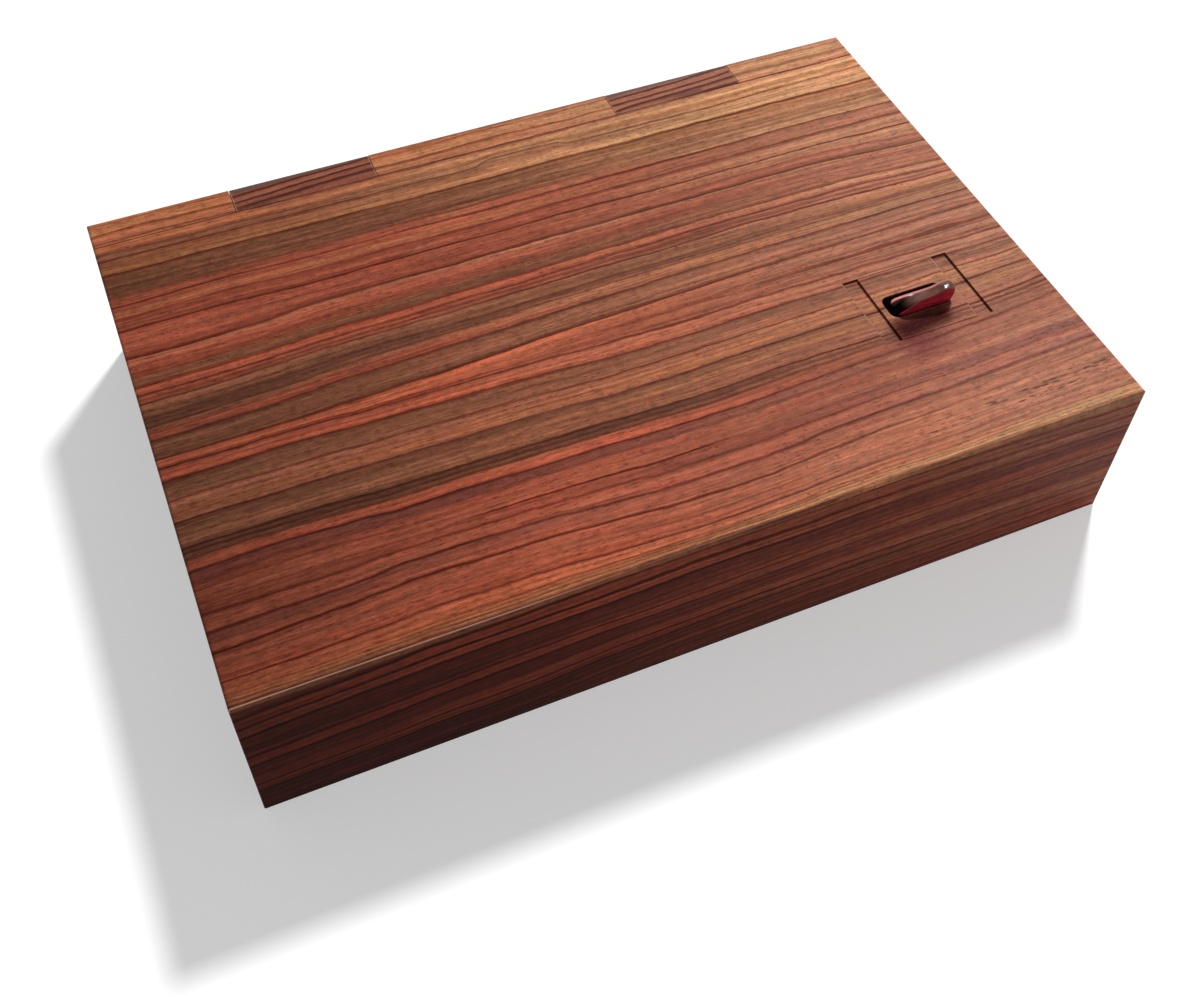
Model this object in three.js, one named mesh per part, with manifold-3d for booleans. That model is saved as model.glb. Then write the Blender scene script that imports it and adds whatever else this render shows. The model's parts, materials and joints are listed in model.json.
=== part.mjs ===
// Wooden organizer box with a hinged lid, a fixed rear rail and a sliding latch.
// Millimetres, +Z up. The origin is the middle of the box's footprint, at its underside.
// +X is to the right, the front of the box faces -Y, and the lid is closed.

import * as THREE from "three";
import { mergeVertices } from "three/addons/utils/BufferGeometryUtils.js";
import Module from "manifold-3d";

const wasm = await Module();
wasm.setup();

// The box and its boards
const boxWidth = 340;
const boxDepth = 233;
const boxHeight = 69;
const wallThickness = 10;
const lidThickness = 10;
const baseThickness = 6;
const baseRabbetDepth = 5;

// Eased arrises: the lid and the rail along their ends and the back, the lid along the front,
// and the upright corners of the case
const endEase = 1.2;
const frontEase = 0.5;
const cornerEase = 0.6;

// Gaps between the pieces
const glueLine = 0.1;
const lidSeam = 0.2;
const slideGap = 0.1;
const sideGap = 0.3;
const cutOverrun = 1;

// Corner splines, let into the mitres of the walls
const splineThickness = 2.5;
const splineWidth = 8;
const splineStart = 4;
const splineTopGap = 10.8;

// Dividers, housed in the walls
const dividerThickness = 6;
const dividerHeadroom = 3.7;
const dividerHousing = 3;
const crossHousing = 2;
const dividerOffset = 45;

// Wooden hinge: the tongues of the lid turn on pins in the rear rail
const railDepth = 14.6;
const tongueWidth = 58.8;
const tongueEndDistance = 57.3;
const tongueLegReach = 30;
const tongueLegThickness = 4.9;
const tongueSideGap = 0.35;
const jointGap = 0.35;
const heelRadius = 1.5;
const pinRadius = 1.5;
const pinClearance = 0.1;
const pinBlindDepth = 15;
const plugRadius = 2.4;
const plugLength = 6;

// Latch: recess, plate, button and bolt
const latchEndDistance = 53.2;
const latchFrontDistance = 73.2;
const recessLength = 46.6;
const recessWidth = 35;
const plateLength = 33;
const plateThickness = 1;
const latchTravel = 6.3;
const mortiseLength = 26.4;
const mortiseWidth = 11.6;
const mortiseOffsetX = -1;
const mortiseOffsetY = -1;
const mortiseCornerRadius = 3.4;
const buttonLength = 25.6;
const buttonFootprint = 23.2;
const buttonThickness = 9.2;
const buttonCornerRadius = 2.8;
const buttonHeight = 7.6;
const buttonFarHeight = 1;
const buttonFrontGap = 0.2;
const buttonStart = 2;
const footLength = 6;
const boltWidth = 18;
const boltThickness = 5;
const boltDrop = 4;
const boltTail = 16;
const boltTipGap = 0.5;
const boltClearance = 0.8;
const boltMortiseSlack = 0.6;
const guideLength = 48;
const guideEndInset = 5;
const guideLip = 2.5;
const guideWall = 8.5;
const guideFloor = 2;

// Strike plate round the bolt's mortise
const strikeLength = 34;
const strikeHeight = 10.6;
const strikeThickness = 1.2;
const strikeScrewOffset = 13.2;

// Screws: a flat countersunk head with a driver slot
const screwClearance = 0.15;
const woodScrew = { headRadius: 2.9, headHeight: 1.9, shankRadius: 1.5, length: 8.4, slot: 0.8 };
const guideScrew = { ...woodScrew, length: 17 };
const latchScrew = { ...woodScrew, headRadius: 2.6, length: 12 };
const strikeScrew = { headRadius: 1.9, headHeight: 1.1, shankRadius: 1.1, length: 7, slot: 0.6 };
const screwPointShare = 0.6;
const slotDepthShare = 0.45;
const tongueScrewShare = 0.27;
const guideScrewShare = 0.34;

// Facets of the round pieces
const pinFacets = 24;
const screwFacets = 16;
const arcFacets = 8;
const weldTolerance = 1e-4;

// Sizes that follow from the ones above
const halfWidth = boxWidth / 2;
const halfDepth = boxDepth / 2;
const innerHalfWidth = halfWidth - wallThickness;
const innerHalfDepth = halfDepth - wallThickness;
const wallTop = boxHeight - lidThickness - lidSeam;
const mitreShift = (glueLine * Math.SQRT2) / 2;
const halfLid = lidThickness / 2;
const pinY = halfDepth - halfLid;
const pinZ = boxHeight - halfLid;
const railReach = railDepth - halfLid;
const lidBack = railReach + jointGap;
const lidFront = 2 * halfDepth - halfLid;
const boreRadius = (pinRadius + pinClearance) / Math.cos(Math.PI / pinFacets);
const tongueCentre = halfWidth - tongueEndDistance - tongueWidth / 2;
const boltTop = pinZ - halfLid - boltDrop;
const boltMiddle = boltTop - boltThickness / 2;
const guideDrop = boltDrop + boltThickness + sideGap + guideFloor;
const dividerTop = pinZ - halfLid - guideDrop - dividerHeadroom;
const footTravel = footLength / 2 + latchTravel + sideGap;

const wood = new THREE.MeshStandardMaterial({ color: 0x9c5a3c, roughness: 0.45, metalness: 0 });
const tongueWood = new THREE.MeshStandardMaterial({ color: 0x75402e, roughness: 0.45, metalness: 0 });
const buttonWood = new THREE.MeshStandardMaterial({ color: 0x5e1420, roughness: 0.2, metalness: 0 });
const paleWood = new THREE.MeshStandardMaterial({ color: 0xc9a36f, roughness: 0.6, metalness: 0 });
const hardWood = new THREE.MeshStandardMaterial({ color: 0x6b4630, roughness: 0.55, metalness: 0 });
const brass = new THREE.MeshStandardMaterial({ color: 0xb58b3a, roughness: 0.3, metalness: 1 });

// A closed solid from a geometry's positions
function solidOf(geometry) {
  const plain = geometry.clone();
  plain.deleteAttribute("normal");
  plain.deleteAttribute("uv");
  const merged = mergeVertices(plain, weldTolerance);
  return new wasm.Manifold(
    new wasm.Mesh({
      numProp: 3,
      vertProperties: merged.attributes.position.array,
      triVerts: new Uint32Array(merged.index.array),
    }),
  );
}

// A drawable geometry from a solid
function geometryOf(solid) {
  const mesh = solid.getMesh();
  const geometry = new THREE.BufferGeometry();
  geometry.setAttribute("position", new THREE.BufferAttribute(mesh.vertProperties, 3));
  geometry.setIndex(new THREE.BufferAttribute(mesh.triVerts, 1));
  const flat = geometry.toNonIndexed();
  flat.computeVertexNormals();
  return flat;
}

// The first geometry without the others
function cut(geometry, tools) {
  const left = tools.reduce((solid, tool) => solid.subtract(solidOf(tool)), solidOf(geometry));
  return geometryOf(left);
}

// What two geometries share, and what they make together
function shared(first, second) {
  return geometryOf(solidOf(first).intersect(solidOf(second)));
}

function joined(first, second) {
  return geometryOf(solidOf(first).add(solidOf(second)));
}

// A block between two corners
function block(low, high) {
  const size = high.map((value, axis) => value - low[axis]);
  const middle = high.map((value, axis) => (value + low[axis]) / 2);
  return new THREE.BoxGeometry(...size).translate(...middle);
}

// An outline in Y and Z, drawn out along X
function alongX(shape, from, to) {
  const geometry = new THREE.ExtrudeGeometry(shape, {
    depth: to - from,
    bevelEnabled: false,
    curveSegments: arcFacets,
  });
  const turn = new THREE.Matrix4().makeBasis(
    new THREE.Vector3(0, 1, 0),
    new THREE.Vector3(0, 0, 1),
    new THREE.Vector3(1, 0, 0),
  );
  return geometry.applyMatrix4(turn).translate(from, 0, 0);
}

// An outline in X and Z, drawn out along Y
function alongY(shape, from, to) {
  const geometry = new THREE.ExtrudeGeometry(shape, {
    depth: to - from,
    bevelEnabled: false,
    curveSegments: arcFacets,
  });
  return geometry.rotateX(Math.PI / 2).translate(0, to, 0);
}

// An outline in X and Y, drawn out along Z
function alongZ(shape, from, to) {
  const geometry = new THREE.ExtrudeGeometry(shape, {
    depth: to - from,
    bevelEnabled: false,
    curveSegments: arcFacets,
  });
  return geometry.translate(0, 0, from);
}

function outline(points) {
  return new THREE.Shape(points.map(([x, y]) => new THREE.Vector2(x, y)));
}

// An oblong about the middle, with round corners
function oblong(length, width, radius) {
  const x = length / 2;
  const y = width / 2;
  const shape = new THREE.Shape();
  shape.moveTo(-x + radius, -y);
  shape.lineTo(x - radius, -y);
  shape.absarc(x - radius, -y + radius, radius, -Math.PI / 2, 0, false);
  shape.lineTo(x, y - radius);
  shape.absarc(x - radius, y - radius, radius, 0, Math.PI / 2, false);
  shape.lineTo(-x + radius, y);
  shape.absarc(-x + radius, y - radius, radius, Math.PI / 2, Math.PI, false);
  shape.lineTo(-x, -y + radius);
  shape.absarc(-x + radius, -y + radius, radius, Math.PI, Math.PI * 1.5, false);
  return shape;
}
// A round bar along X
function barX(radius, from, to, y, z) {
  const bar = new THREE.CylinderGeometry(radius, radius, to - from, pinFacets);
  return bar.rotateZ(Math.PI / 2).translate((from + to) / 2, y, z);
}

// A countersunk screw that points along +Z with its head's face at zero, grown by a clearance
function screwBody(size, clearance = 0) {
  const pointLength = size.shankRadius * screwPointShare;
  const profile = [
    [0, -clearance],
    [size.headRadius + clearance, -clearance],
    [size.headRadius + clearance, 0],
    [size.shankRadius + clearance, size.headHeight],
    [size.shankRadius + clearance, size.length - pointLength],
    [0, size.length + clearance],
  ];
  const points = profile
    .filter(([, height], row) => clearance > 0 || row !== 1 || height !== 0)
    .map(([radius, height]) => new THREE.Vector2(radius, height));
  return new THREE.LatheGeometry(points, screwFacets).rotateX(Math.PI / 2);
}

function screwGeometry(size) {
  const slotDepth = size.headHeight * slotDepthShare;
  const reach = size.headRadius + cutOverrun;
  const slot = block([-reach, -size.slot / 2, -cutOverrun], [reach, size.slot / 2, slotDepth]);
  return cut(screwBody(size), [slot]);
}

function part(name, geometry, material, position = [0, 0, 0]) {
  const mesh = new THREE.Mesh(geometry, material);
  mesh.name = name;
  mesh.position.set(...position);
  return mesh;
}

// The bolt's mortise and the strike plate are measured from the latch's middle line
const latchX = halfWidth - latchEndDistance;
const latchY = -halfDepth + latchFrontDistance;
const mortiseX = latchX + mortiseOffsetX;
const mortiseY = latchY + mortiseOffsetY;
const buttonY = mortiseY - mortiseWidth / 2 + buttonFrontGap + buttonThickness / 2;

// Case: walls, base, dividers, rail, pins and strike plate
const caseGroup = new THREE.Group();

const splineCentre = { x: halfWidth - wallThickness / 2, y: halfDepth - wallThickness / 2 };
const splineBottom = baseThickness + splineStart;
const splineTop = wallTop - splineTopGap;

// A spline, or the slot for one, in the mitre of the corner on the given sides
function splineBlock(sideX, sideY, gap) {
  const half = [splineWidth / 2 + gap, splineThickness / 2 + gap];
  const bar = block([-half[0], -half[1], splineBottom - gap], [half[0], half[1], splineTop + gap]);
  bar.rotateZ((-sideX * sideY * Math.PI) / 4);
  return bar.translate(sideX * splineCentre.x, sideY * splineCentre.y, 0);
}

const corners = [
  ["front_left", -1, -1],
  ["front_right", 1, -1],
  ["back_left", -1, 1],
  ["back_right", 1, 1],
];
const splineSlots = corners.map(([, sideX, sideY]) => splineBlock(sideX, sideY, sideGap));
for (const [corner, sideX, sideY] of corners) {
  caseGroup.add(part(`corner_spline_${corner}`, splineBlock(sideX, sideY, 0), paleWood));
}

// The space that the base takes out of the walls' lower inner edges
const rabbetX = innerHalfWidth + baseRabbetDepth;
const rabbetY = innerHalfDepth + baseRabbetDepth;
const baseRabbet = block(
  [-rabbetX, -rabbetY, -cutOverrun],
  [rabbetX, rabbetY, baseThickness + glueLine],
);

// Housings of the dividers, wider than the dividers by a glue line on each side
const longDividerX = dividerOffset;
const longHalf = dividerThickness / 2;
const longReach = innerHalfDepth + dividerHousing;
const longHousing = block(
  [longDividerX - longHalf - glueLine, -longReach, -cutOverrun],
  [longDividerX + longHalf + glueLine, longReach, dividerTop + glueLine],
);
const bayDepth = (2 * innerHalfDepth - 2 * dividerThickness) / 3;
const crossY = (bayDepth + dividerThickness) / 2;
const crossFrom = longDividerX + longHalf - crossHousing;
const crossTo = innerHalfWidth + dividerHousing;
function crossHousingAt(y) {
  return block(
    [crossFrom, y - longHalf - glueLine, -cutOverrun],
    [crossTo, y + longHalf + glueLine, dividerTop + glueLine],
  );
}
const crossHousings = [crossHousingAt(-crossY), crossHousingAt(crossY)];

// The case seen from above, with eased corners
function footprint(height, ease) {
  return alongZ(oblong(boxWidth, boxDepth, ease), 0, height);
}

// Walls with mitred ends: an outline seen from above, drawn up from the floor
function longWall(side) {
  const outer = halfWidth - mitreShift;
  const inner = innerHalfWidth - mitreShift;
  const points = [
    [-outer, side * halfDepth],
    [outer, side * halfDepth],
    [inner, side * innerHalfDepth],
    [-inner, side * innerHalfDepth],
  ];
  return shared(alongZ(outline(points), 0, wallTop), footprint(wallTop, cornerEase));
}

function shortWall(side) {
  const outer = halfDepth - mitreShift;
  const inner = innerHalfDepth - mitreShift;
  const points = [
    [side * halfWidth, -outer],
    [side * halfWidth, outer],
    [side * innerHalfWidth, inner],
    [side * innerHalfWidth, -inner],
  ];
  return shared(alongZ(outline(points), 0, wallTop), footprint(wallTop, cornerEase));
}

caseGroup.add(part("front_wall", cut(longWall(-1), [baseRabbet, longHousing, ...splineSlots]), wood));
caseGroup.add(part("back_wall", cut(longWall(1), [baseRabbet, longHousing, ...splineSlots]), wood));
caseGroup.add(part("left_wall", cut(shortWall(-1), [baseRabbet, ...splineSlots]), wood));

// Strike plate, let into the right wall flush with its inner face
const strikeY = buttonY;
function strikeBlock(gap, from, to) {
  return block(
    [from, strikeY - strikeLength / 2 - gap, boltMiddle - strikeHeight / 2 - gap],
    [to, strikeY + strikeLength / 2 + gap, boltMiddle + strikeHeight / 2 + gap],
  );
}
const boltMortise = block(
  [
    innerHalfWidth - cutOverrun,
    strikeY - boltWidth / 2 - boltClearance,
    boltMiddle - boltThickness / 2 - boltClearance,
  ],
  [
    innerHalfWidth + latchTravel - boltTipGap + boltMortiseSlack,
    strikeY + boltWidth / 2 + boltClearance,
    boltMiddle + boltThickness / 2 + boltClearance,
  ],
);
const strikeScrewPlaces = [
  ["front", strikeY - strikeScrewOffset],
  ["back", strikeY + strikeScrewOffset],
];
function strikeScrewAt(geometry, y) {
  return geometry.rotateY(Math.PI / 2).translate(innerHalfWidth, y, boltMiddle);
}
const strikeScrewBores = strikeScrewPlaces.map(([, y]) =>
  strikeScrewAt(screwBody(strikeScrew, screwClearance), y),
);
const strikeHousing = strikeBlock(glueLine, innerHalfWidth - cutOverrun, innerHalfWidth + strikeThickness + glueLine);
const strikeSolid = strikeBlock(0, innerHalfWidth, innerHalfWidth + strikeThickness);
caseGroup.add(
  part(
    "right_wall",
    cut(shortWall(1), [
      baseRabbet,
      ...splineSlots,
      ...crossHousings,
      strikeHousing,
      boltMortise,
      ...strikeScrewBores,
    ]),
    wood,
  ),
);
caseGroup.add(part("strike_plate", cut(strikeSolid, [boltMortise, ...strikeScrewBores]), brass));
for (const [place, y] of strikeScrewPlaces) {
  caseGroup.add(part(`strike_screw_${place}`, strikeScrewAt(screwGeometry(strikeScrew), y), brass));
}

// Base and dividers
const baseHalfX = rabbetX - glueLine;
const baseHalfY = rabbetY - glueLine;
caseGroup.add(
  part("base_panel", block([-baseHalfX, -baseHalfY, 0], [baseHalfX, baseHalfY, baseThickness]), paleWood),
);
const dividerFloor = baseThickness + glueLine;
const longSolid = block(
  [longDividerX - longHalf, -longReach + glueLine, dividerFloor],
  [longDividerX + longHalf, longReach - glueLine, dividerTop],
);
caseGroup.add(part("long_divider", cut(longSolid, crossHousings), paleWood));
const crossDividers = [
  ["cross_divider_front", -crossY],
  ["cross_divider_back", crossY],
];
for (const [name, y] of crossDividers) {
  const solid = block(
    [crossFrom + glueLine, y - longHalf, dividerFloor],
    [crossTo - glueLine, y + longHalf, dividerTop],
  );
  caseGroup.add(part(name, solid, paleWood));
}

// The whole box with the arrises of its top eased at the ends, at the back and at the front
function easedTop() {
  const ends = new THREE.Shape();
  ends.moveTo(-halfWidth, 0);
  ends.lineTo(halfWidth, 0);
  ends.lineTo(halfWidth, boxHeight - endEase);
  ends.absarc(halfWidth - endEase, boxHeight - endEase, endEase, 0, Math.PI / 2, false);
  ends.lineTo(-halfWidth + endEase, boxHeight);
  ends.absarc(-halfWidth + endEase, boxHeight - endEase, endEase, Math.PI / 2, Math.PI, false);
  const side = new THREE.Shape();
  side.moveTo(-halfDepth, 0);
  side.lineTo(halfDepth, 0);
  side.lineTo(halfDepth, boxHeight - endEase);
  side.absarc(halfDepth - endEase, boxHeight - endEase, endEase, 0, Math.PI / 2, false);
  side.lineTo(-halfDepth + frontEase, boxHeight);
  side.absarc(-halfDepth + frontEase, boxHeight - frontEase, frontEase, Math.PI / 2, Math.PI, false);
  const across = alongY(ends, -halfDepth - cutOverrun, halfDepth + cutOverrun);
  const along = alongX(side, -halfWidth - cutOverrun, halfWidth + cutOverrun);
  return shared(shared(across, along), footprint(boxHeight, cornerEase));
}

// Rear rail in three lengths on the back wall, with the pins' bores and the end plugs
const tongueInner = tongueCentre - tongueWidth / 2 - tongueSideGap;
const tongueOuter = tongueCentre + tongueWidth / 2 + tongueSideGap;
const railFront = pinY - railReach;
function railLength(from, to) {
  return shared(block([from, railFront, wallTop], [to, halfDepth, boxHeight]), easedTop());
}
function endBores(side) {
  const bore = barX(boreRadius, tongueInner - pinBlindDepth, halfWidth - plugLength, pinY, pinZ);
  const counterbore = barX(plugRadius + glueLine, halfWidth - plugLength, halfWidth + cutOverrun, pinY, pinZ);
  return [bore, counterbore].map((tool) => (side < 0 ? tool.rotateZ(Math.PI).translate(0, 2 * pinY, 0) : tool));
}
const allBores = [...endBores(-1), ...endBores(1)];
caseGroup.add(part("rear_rail_left", cut(railLength(-halfWidth, -tongueOuter), allBores), wood));
caseGroup.add(part("rear_rail_middle", cut(railLength(-tongueInner, tongueInner), allBores), wood));
caseGroup.add(part("rear_rail_right", cut(railLength(tongueOuter, halfWidth), allBores), wood));

const pinFrom = tongueInner - pinBlindDepth + glueLine;
const pinTo = halfWidth - plugLength - glueLine;
for (const [name, side] of [["left", -1], ["right", 1]]) {
  const pinEnds = [side * pinFrom, side * pinTo].sort((a, b) => a - b);
  const plugEnds = [side * (halfWidth - plugLength), side * halfWidth].sort((a, b) => a - b);
  caseGroup.add(part(`hinge_pin_${name}`, barX(pinRadius, ...pinEnds, pinY, pinZ), brass));
  caseGroup.add(part(`pin_plug_${name}`, barX(plugRadius, ...plugEnds, pinY, pinZ), hardWood));
}

// Lid: measured from the pins' axis, with the front of the box towards -Y
const lidGroup = new THREE.Group();
lidGroup.position.set(0, pinY, pinZ);

// The lid's back edge leans away below its top arris, on the tangent of its own swing,
// so that it clears the rail's corner as the lid rises
const edgeReach = Math.hypot(lidBack, halfLid);
const undercutDrop = ((edgeReach - lidBack) * lidBack) / halfLid;
const lidOutline = outline([
  [-lidFront, -halfLid],
  [-edgeReach, -halfLid],
  [-edgeReach, halfLid - undercutDrop],
  [-lidBack, halfLid],
  [-lidFront, halfLid],
]);
const legTop = -halfLid + tongueLegThickness;
const legEnd = lidBack + tongueLegReach;
const sides = [
  ["left", -1],
  ["right", 1],
];

// The leg of a tongue lies in a pocket under the lid
const legPockets = sides.map(([, side]) =>
  block(
    [side * tongueCentre - tongueWidth / 2 - glueLine, -legEnd - glueLine, -halfLid - cutOverrun],
    [side * tongueCentre + tongueWidth / 2 + glueLine, cutOverrun, legTop + glueLine],
  ),
);

// Screws through the legs, two to a tongue
const tongueScrewX = tongueWidth * tongueScrewShare;
const tongueScrewPlaces = sides.flatMap(([name, side]) =>
  [
    ["outer", side],
    ["inner", -side],
  ].map(([place, away]) => [
    `tongue_screw_${name}_${place}`,
    [side * tongueCentre + away * tongueScrewX, -(edgeReach + legEnd) / 2, -halfLid],
  ]),
);

// Bolt guides under the lid, with a screw near each end
const boltY = buttonY - pinY;
const guideTo = innerHalfWidth - guideEndInset;
const guideFrom = guideTo - guideLength;
const grooveHalf = boltWidth / 2 + sideGap;
const lipHalf = boltWidth / 2 - guideLip;
const guideHalf = boltWidth / 2 + guideWall;
const boltTopLid = -halfLid - boltDrop;
const guideBottom = -halfLid - guideDrop;
const guideScrewY = (grooveHalf + guideHalf) / 2;
const guideMiddle = (guideFrom + guideTo) / 2;
const guideRows = [
  ["front", -1],
  ["back", 1],
];
const guideScrewPlaces = guideRows.flatMap(([row, side]) =>
  sides.map(([end, away]) => [
    `guide_screw_${row}_${end}`,
    [guideMiddle + away * guideLength * guideScrewShare, boltY + side * guideScrewY, guideBottom],
  ]),
);

const tongueScrewBores = tongueScrewPlaces.map(([, place]) =>
  screwBody(woodScrew, screwClearance).translate(...place),
);
const guideScrewBores = guideScrewPlaces.map(([, place]) =>
  screwBody(guideScrew, screwClearance).translate(...place),
);

// The recess for the plate, and the slot through which the button's foot reaches the bolt
const recessY = latchY - pinY;
const recess = block(
  [latchX - recessLength / 2, recessY - recessWidth / 2, halfLid - plateThickness],
  [latchX + recessLength / 2, recessY + recessWidth / 2, halfLid + cutOverrun],
);
const footSlot = block(
  [latchX - footTravel, boltY - buttonThickness / 2 - sideGap, -halfLid - cutOverrun],
  [latchX + footTravel, boltY + buttonThickness / 2 + sideGap, halfLid + cutOverrun],
);
const lidBoard = shared(
  alongX(lidOutline, -halfWidth, halfWidth),
  easedTop().translate(0, -pinY, -pinZ),
);
lidGroup.add(
  part(
    "lid_panel",
    cut(lidBoard, [
      ...legPockets,
      recess,
      footSlot,
      ...tongueScrewBores,
      ...guideScrewBores,
    ]),
    wood,
  ),
);

// A tongue: round underneath about the pin, eased at the top of its heel, with a leg under the lid
function tongueShape() {
  const heelCentre = halfLid - heelRadius;
  const shape = new THREE.Shape();
  shape.moveTo(-railReach, halfLid);
  shape.lineTo(-railReach, legTop);
  shape.lineTo(-legEnd, legTop);
  shape.lineTo(-legEnd, -halfLid);
  shape.lineTo(0, -halfLid);
  shape.absarc(0, 0, halfLid, -Math.PI / 2, 0, false);
  shape.lineTo(halfLid, heelCentre);
  shape.absarc(heelCentre, heelCentre, heelRadius, 0, Math.PI / 2, false);
  return shape;
}
for (const [name, side] of sides) {
  const from = side * tongueCentre - tongueWidth / 2;
  const to = side * tongueCentre + tongueWidth / 2;
  const bore = barX(boreRadius, from - cutOverrun, to + cutOverrun, 0, 0);
  const solid = cut(alongX(tongueShape(), from, to), [bore, ...tongueScrewBores]);
  lidGroup.add(part(`hinge_tongue_${name}`, solid, tongueWood));
}
for (const [name, place] of tongueScrewPlaces) {
  lidGroup.add(part(name, screwGeometry(woodScrew), brass, place));
}

for (const [row, side] of guideRows) {
  const ends = [boltY + side * lipHalf, boltY + side * guideHalf].sort((a, b) => a - b);
  const guide = block([guideFrom, ends[0], guideBottom], [guideTo, ends[1], -halfLid]);
  const groove = block(
    [guideFrom - cutOverrun, boltY - grooveHalf, boltTopLid - boltThickness - sideGap],
    [guideTo + cutOverrun, boltY + grooveHalf, boltTopLid + sideGap],
  );
  lidGroup.add(part(`bolt_guide_${row}`, cut(guide, [groove, ...guideScrewBores]), hardWood));
}
for (const [name, place] of guideScrewPlaces) {
  lidGroup.add(part(name, screwGeometry(guideScrew), brass, place));
}

// Latch: measured from the middle of the recess at the lid's top face
const latchGroup = new THREE.Group();
latchGroup.position.set(latchX, recessY, halfLid);
const plateBottom = -plateThickness + slideGap;
const plateHalfY = recessWidth / 2 - sideGap;

const plateMortise = alongZ(
  oblong(mortiseLength, mortiseWidth, mortiseCornerRadius),
  -plateThickness - cutOverrun,
  cutOverrun,
).translate(mortiseOffsetX, mortiseOffsetY, 0);
const plateSolid = block([-plateLength / 2, -plateHalfY, plateBottom], [plateLength / 2, plateHalfY, 0]);
latchGroup.add(part("latch_plate", cut(plateSolid, [plateMortise]), wood));

// The button rises from a sunken toe at its left end to an overhanging nose at its right end,
// and its top slopes down to the far side. Places along it and heights are shares of its sizes.
const crestShares = [
  [0.09, 0.28],
  [0.24, 0.6],
  [0.45, 0.8],
  [0.66, 0.98],
  [0.82, 1],
  [0.93, 0.94],
  [0.98, 0.86],
];
const toeShare = 0.55;
const noseDropShare = 0.8;
const buttonFront = buttonY - latchY - buttonThickness / 2;
const buttonBack = buttonFront + buttonThickness;
const buttonX = mortiseOffsetX - mortiseLength / 2 + buttonStart;
function buttonSide() {
  const shape = new THREE.Shape();
  shape.moveTo(buttonX, plateBottom);
  shape.lineTo(buttonX + buttonLength, plateBottom);
  shape.lineTo(buttonX + buttonLength, buttonHeight * noseDropShare);
  for (const [lengthShare, heightShare] of [...crestShares].reverse()) {
    shape.lineTo(buttonX + buttonLength * lengthShare, buttonHeight * heightShare);
  }
  shape.lineTo(buttonX, -plateThickness * toeShare);
  return shape;
}

// The button seen from above, with its right end leaning out over the plate as it rises
function buttonPlan() {
  const lean = (buttonLength - buttonFootprint) / noseDropShare;
  const middle = buttonX + buttonFootprint / 2;
  const footprint = oblong(buttonFootprint, buttonThickness, buttonCornerRadius);
  const geometry = alongZ(footprint, 0, buttonHeight).translate(middle, (buttonFront + buttonBack) / 2, 0);
  const positions = geometry.attributes.position;
  for (let row = 0; row < positions.count; row += 1) {
    if (positions.getX(row) > middle && positions.getZ(row) > 0) {
      positions.setX(row, positions.getX(row) + lean);
    }
  }
  const sunk = alongZ(footprint, plateBottom, 0).translate(middle, (buttonFront + buttonBack) / 2, 0);
  return joined(geometry, sunk);
}
const buttonEnd = outline([
  [buttonFront, -plateThickness - cutOverrun],
  [buttonBack, -plateThickness - cutOverrun],
  [buttonBack, buttonFarHeight],
  [buttonFront, buttonHeight],
]);
const buttonSideSolid = alongY(buttonSide(), buttonFront - cutOverrun, buttonBack + cutOverrun);
const buttonEndSolid = alongX(buttonEnd, buttonX - cutOverrun, buttonX + buttonLength + cutOverrun);
const buttonTop = shared(shared(buttonSideSolid, buttonEndSolid), buttonPlan());
const boltTopLatch = -lidThickness - boltDrop;
const buttonFoot = block(
  [-footLength / 2, buttonFront, boltTopLatch + glueLine],
  [footLength / 2, buttonBack, plateBottom + cutOverrun / 2],
);
const boltCentreY = buttonY - latchY;
const latchScrewPlace = [0, boltCentreY, boltTopLatch - boltThickness];
const latchScrewBore = screwBody(latchScrew, screwClearance).translate(...latchScrewPlace);
latchGroup.add(part("latch_button", cut(joined(buttonTop, buttonFoot), [latchScrewBore]), buttonWood));

const boltTip = innerHalfWidth - boltTipGap - latchX;
const boltSolid = block(
  [-boltTail, boltCentreY - boltWidth / 2, boltTopLatch - boltThickness],
  [boltTip, boltCentreY + boltWidth / 2, boltTopLatch],
);
latchGroup.add(part("latch_bolt", cut(boltSolid, [latchScrewBore]), hardWood));
latchGroup.add(part("latch_screw", screwGeometry(latchScrew), brass, latchScrewPlace));
lidGroup.add(latchGroup);

const box = new THREE.Group();
box.add(caseGroup, lidGroup);

export default box;
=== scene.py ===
import json
import math

import bmesh
import bpy
from mathutils import Color, Matrix, Vector


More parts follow.
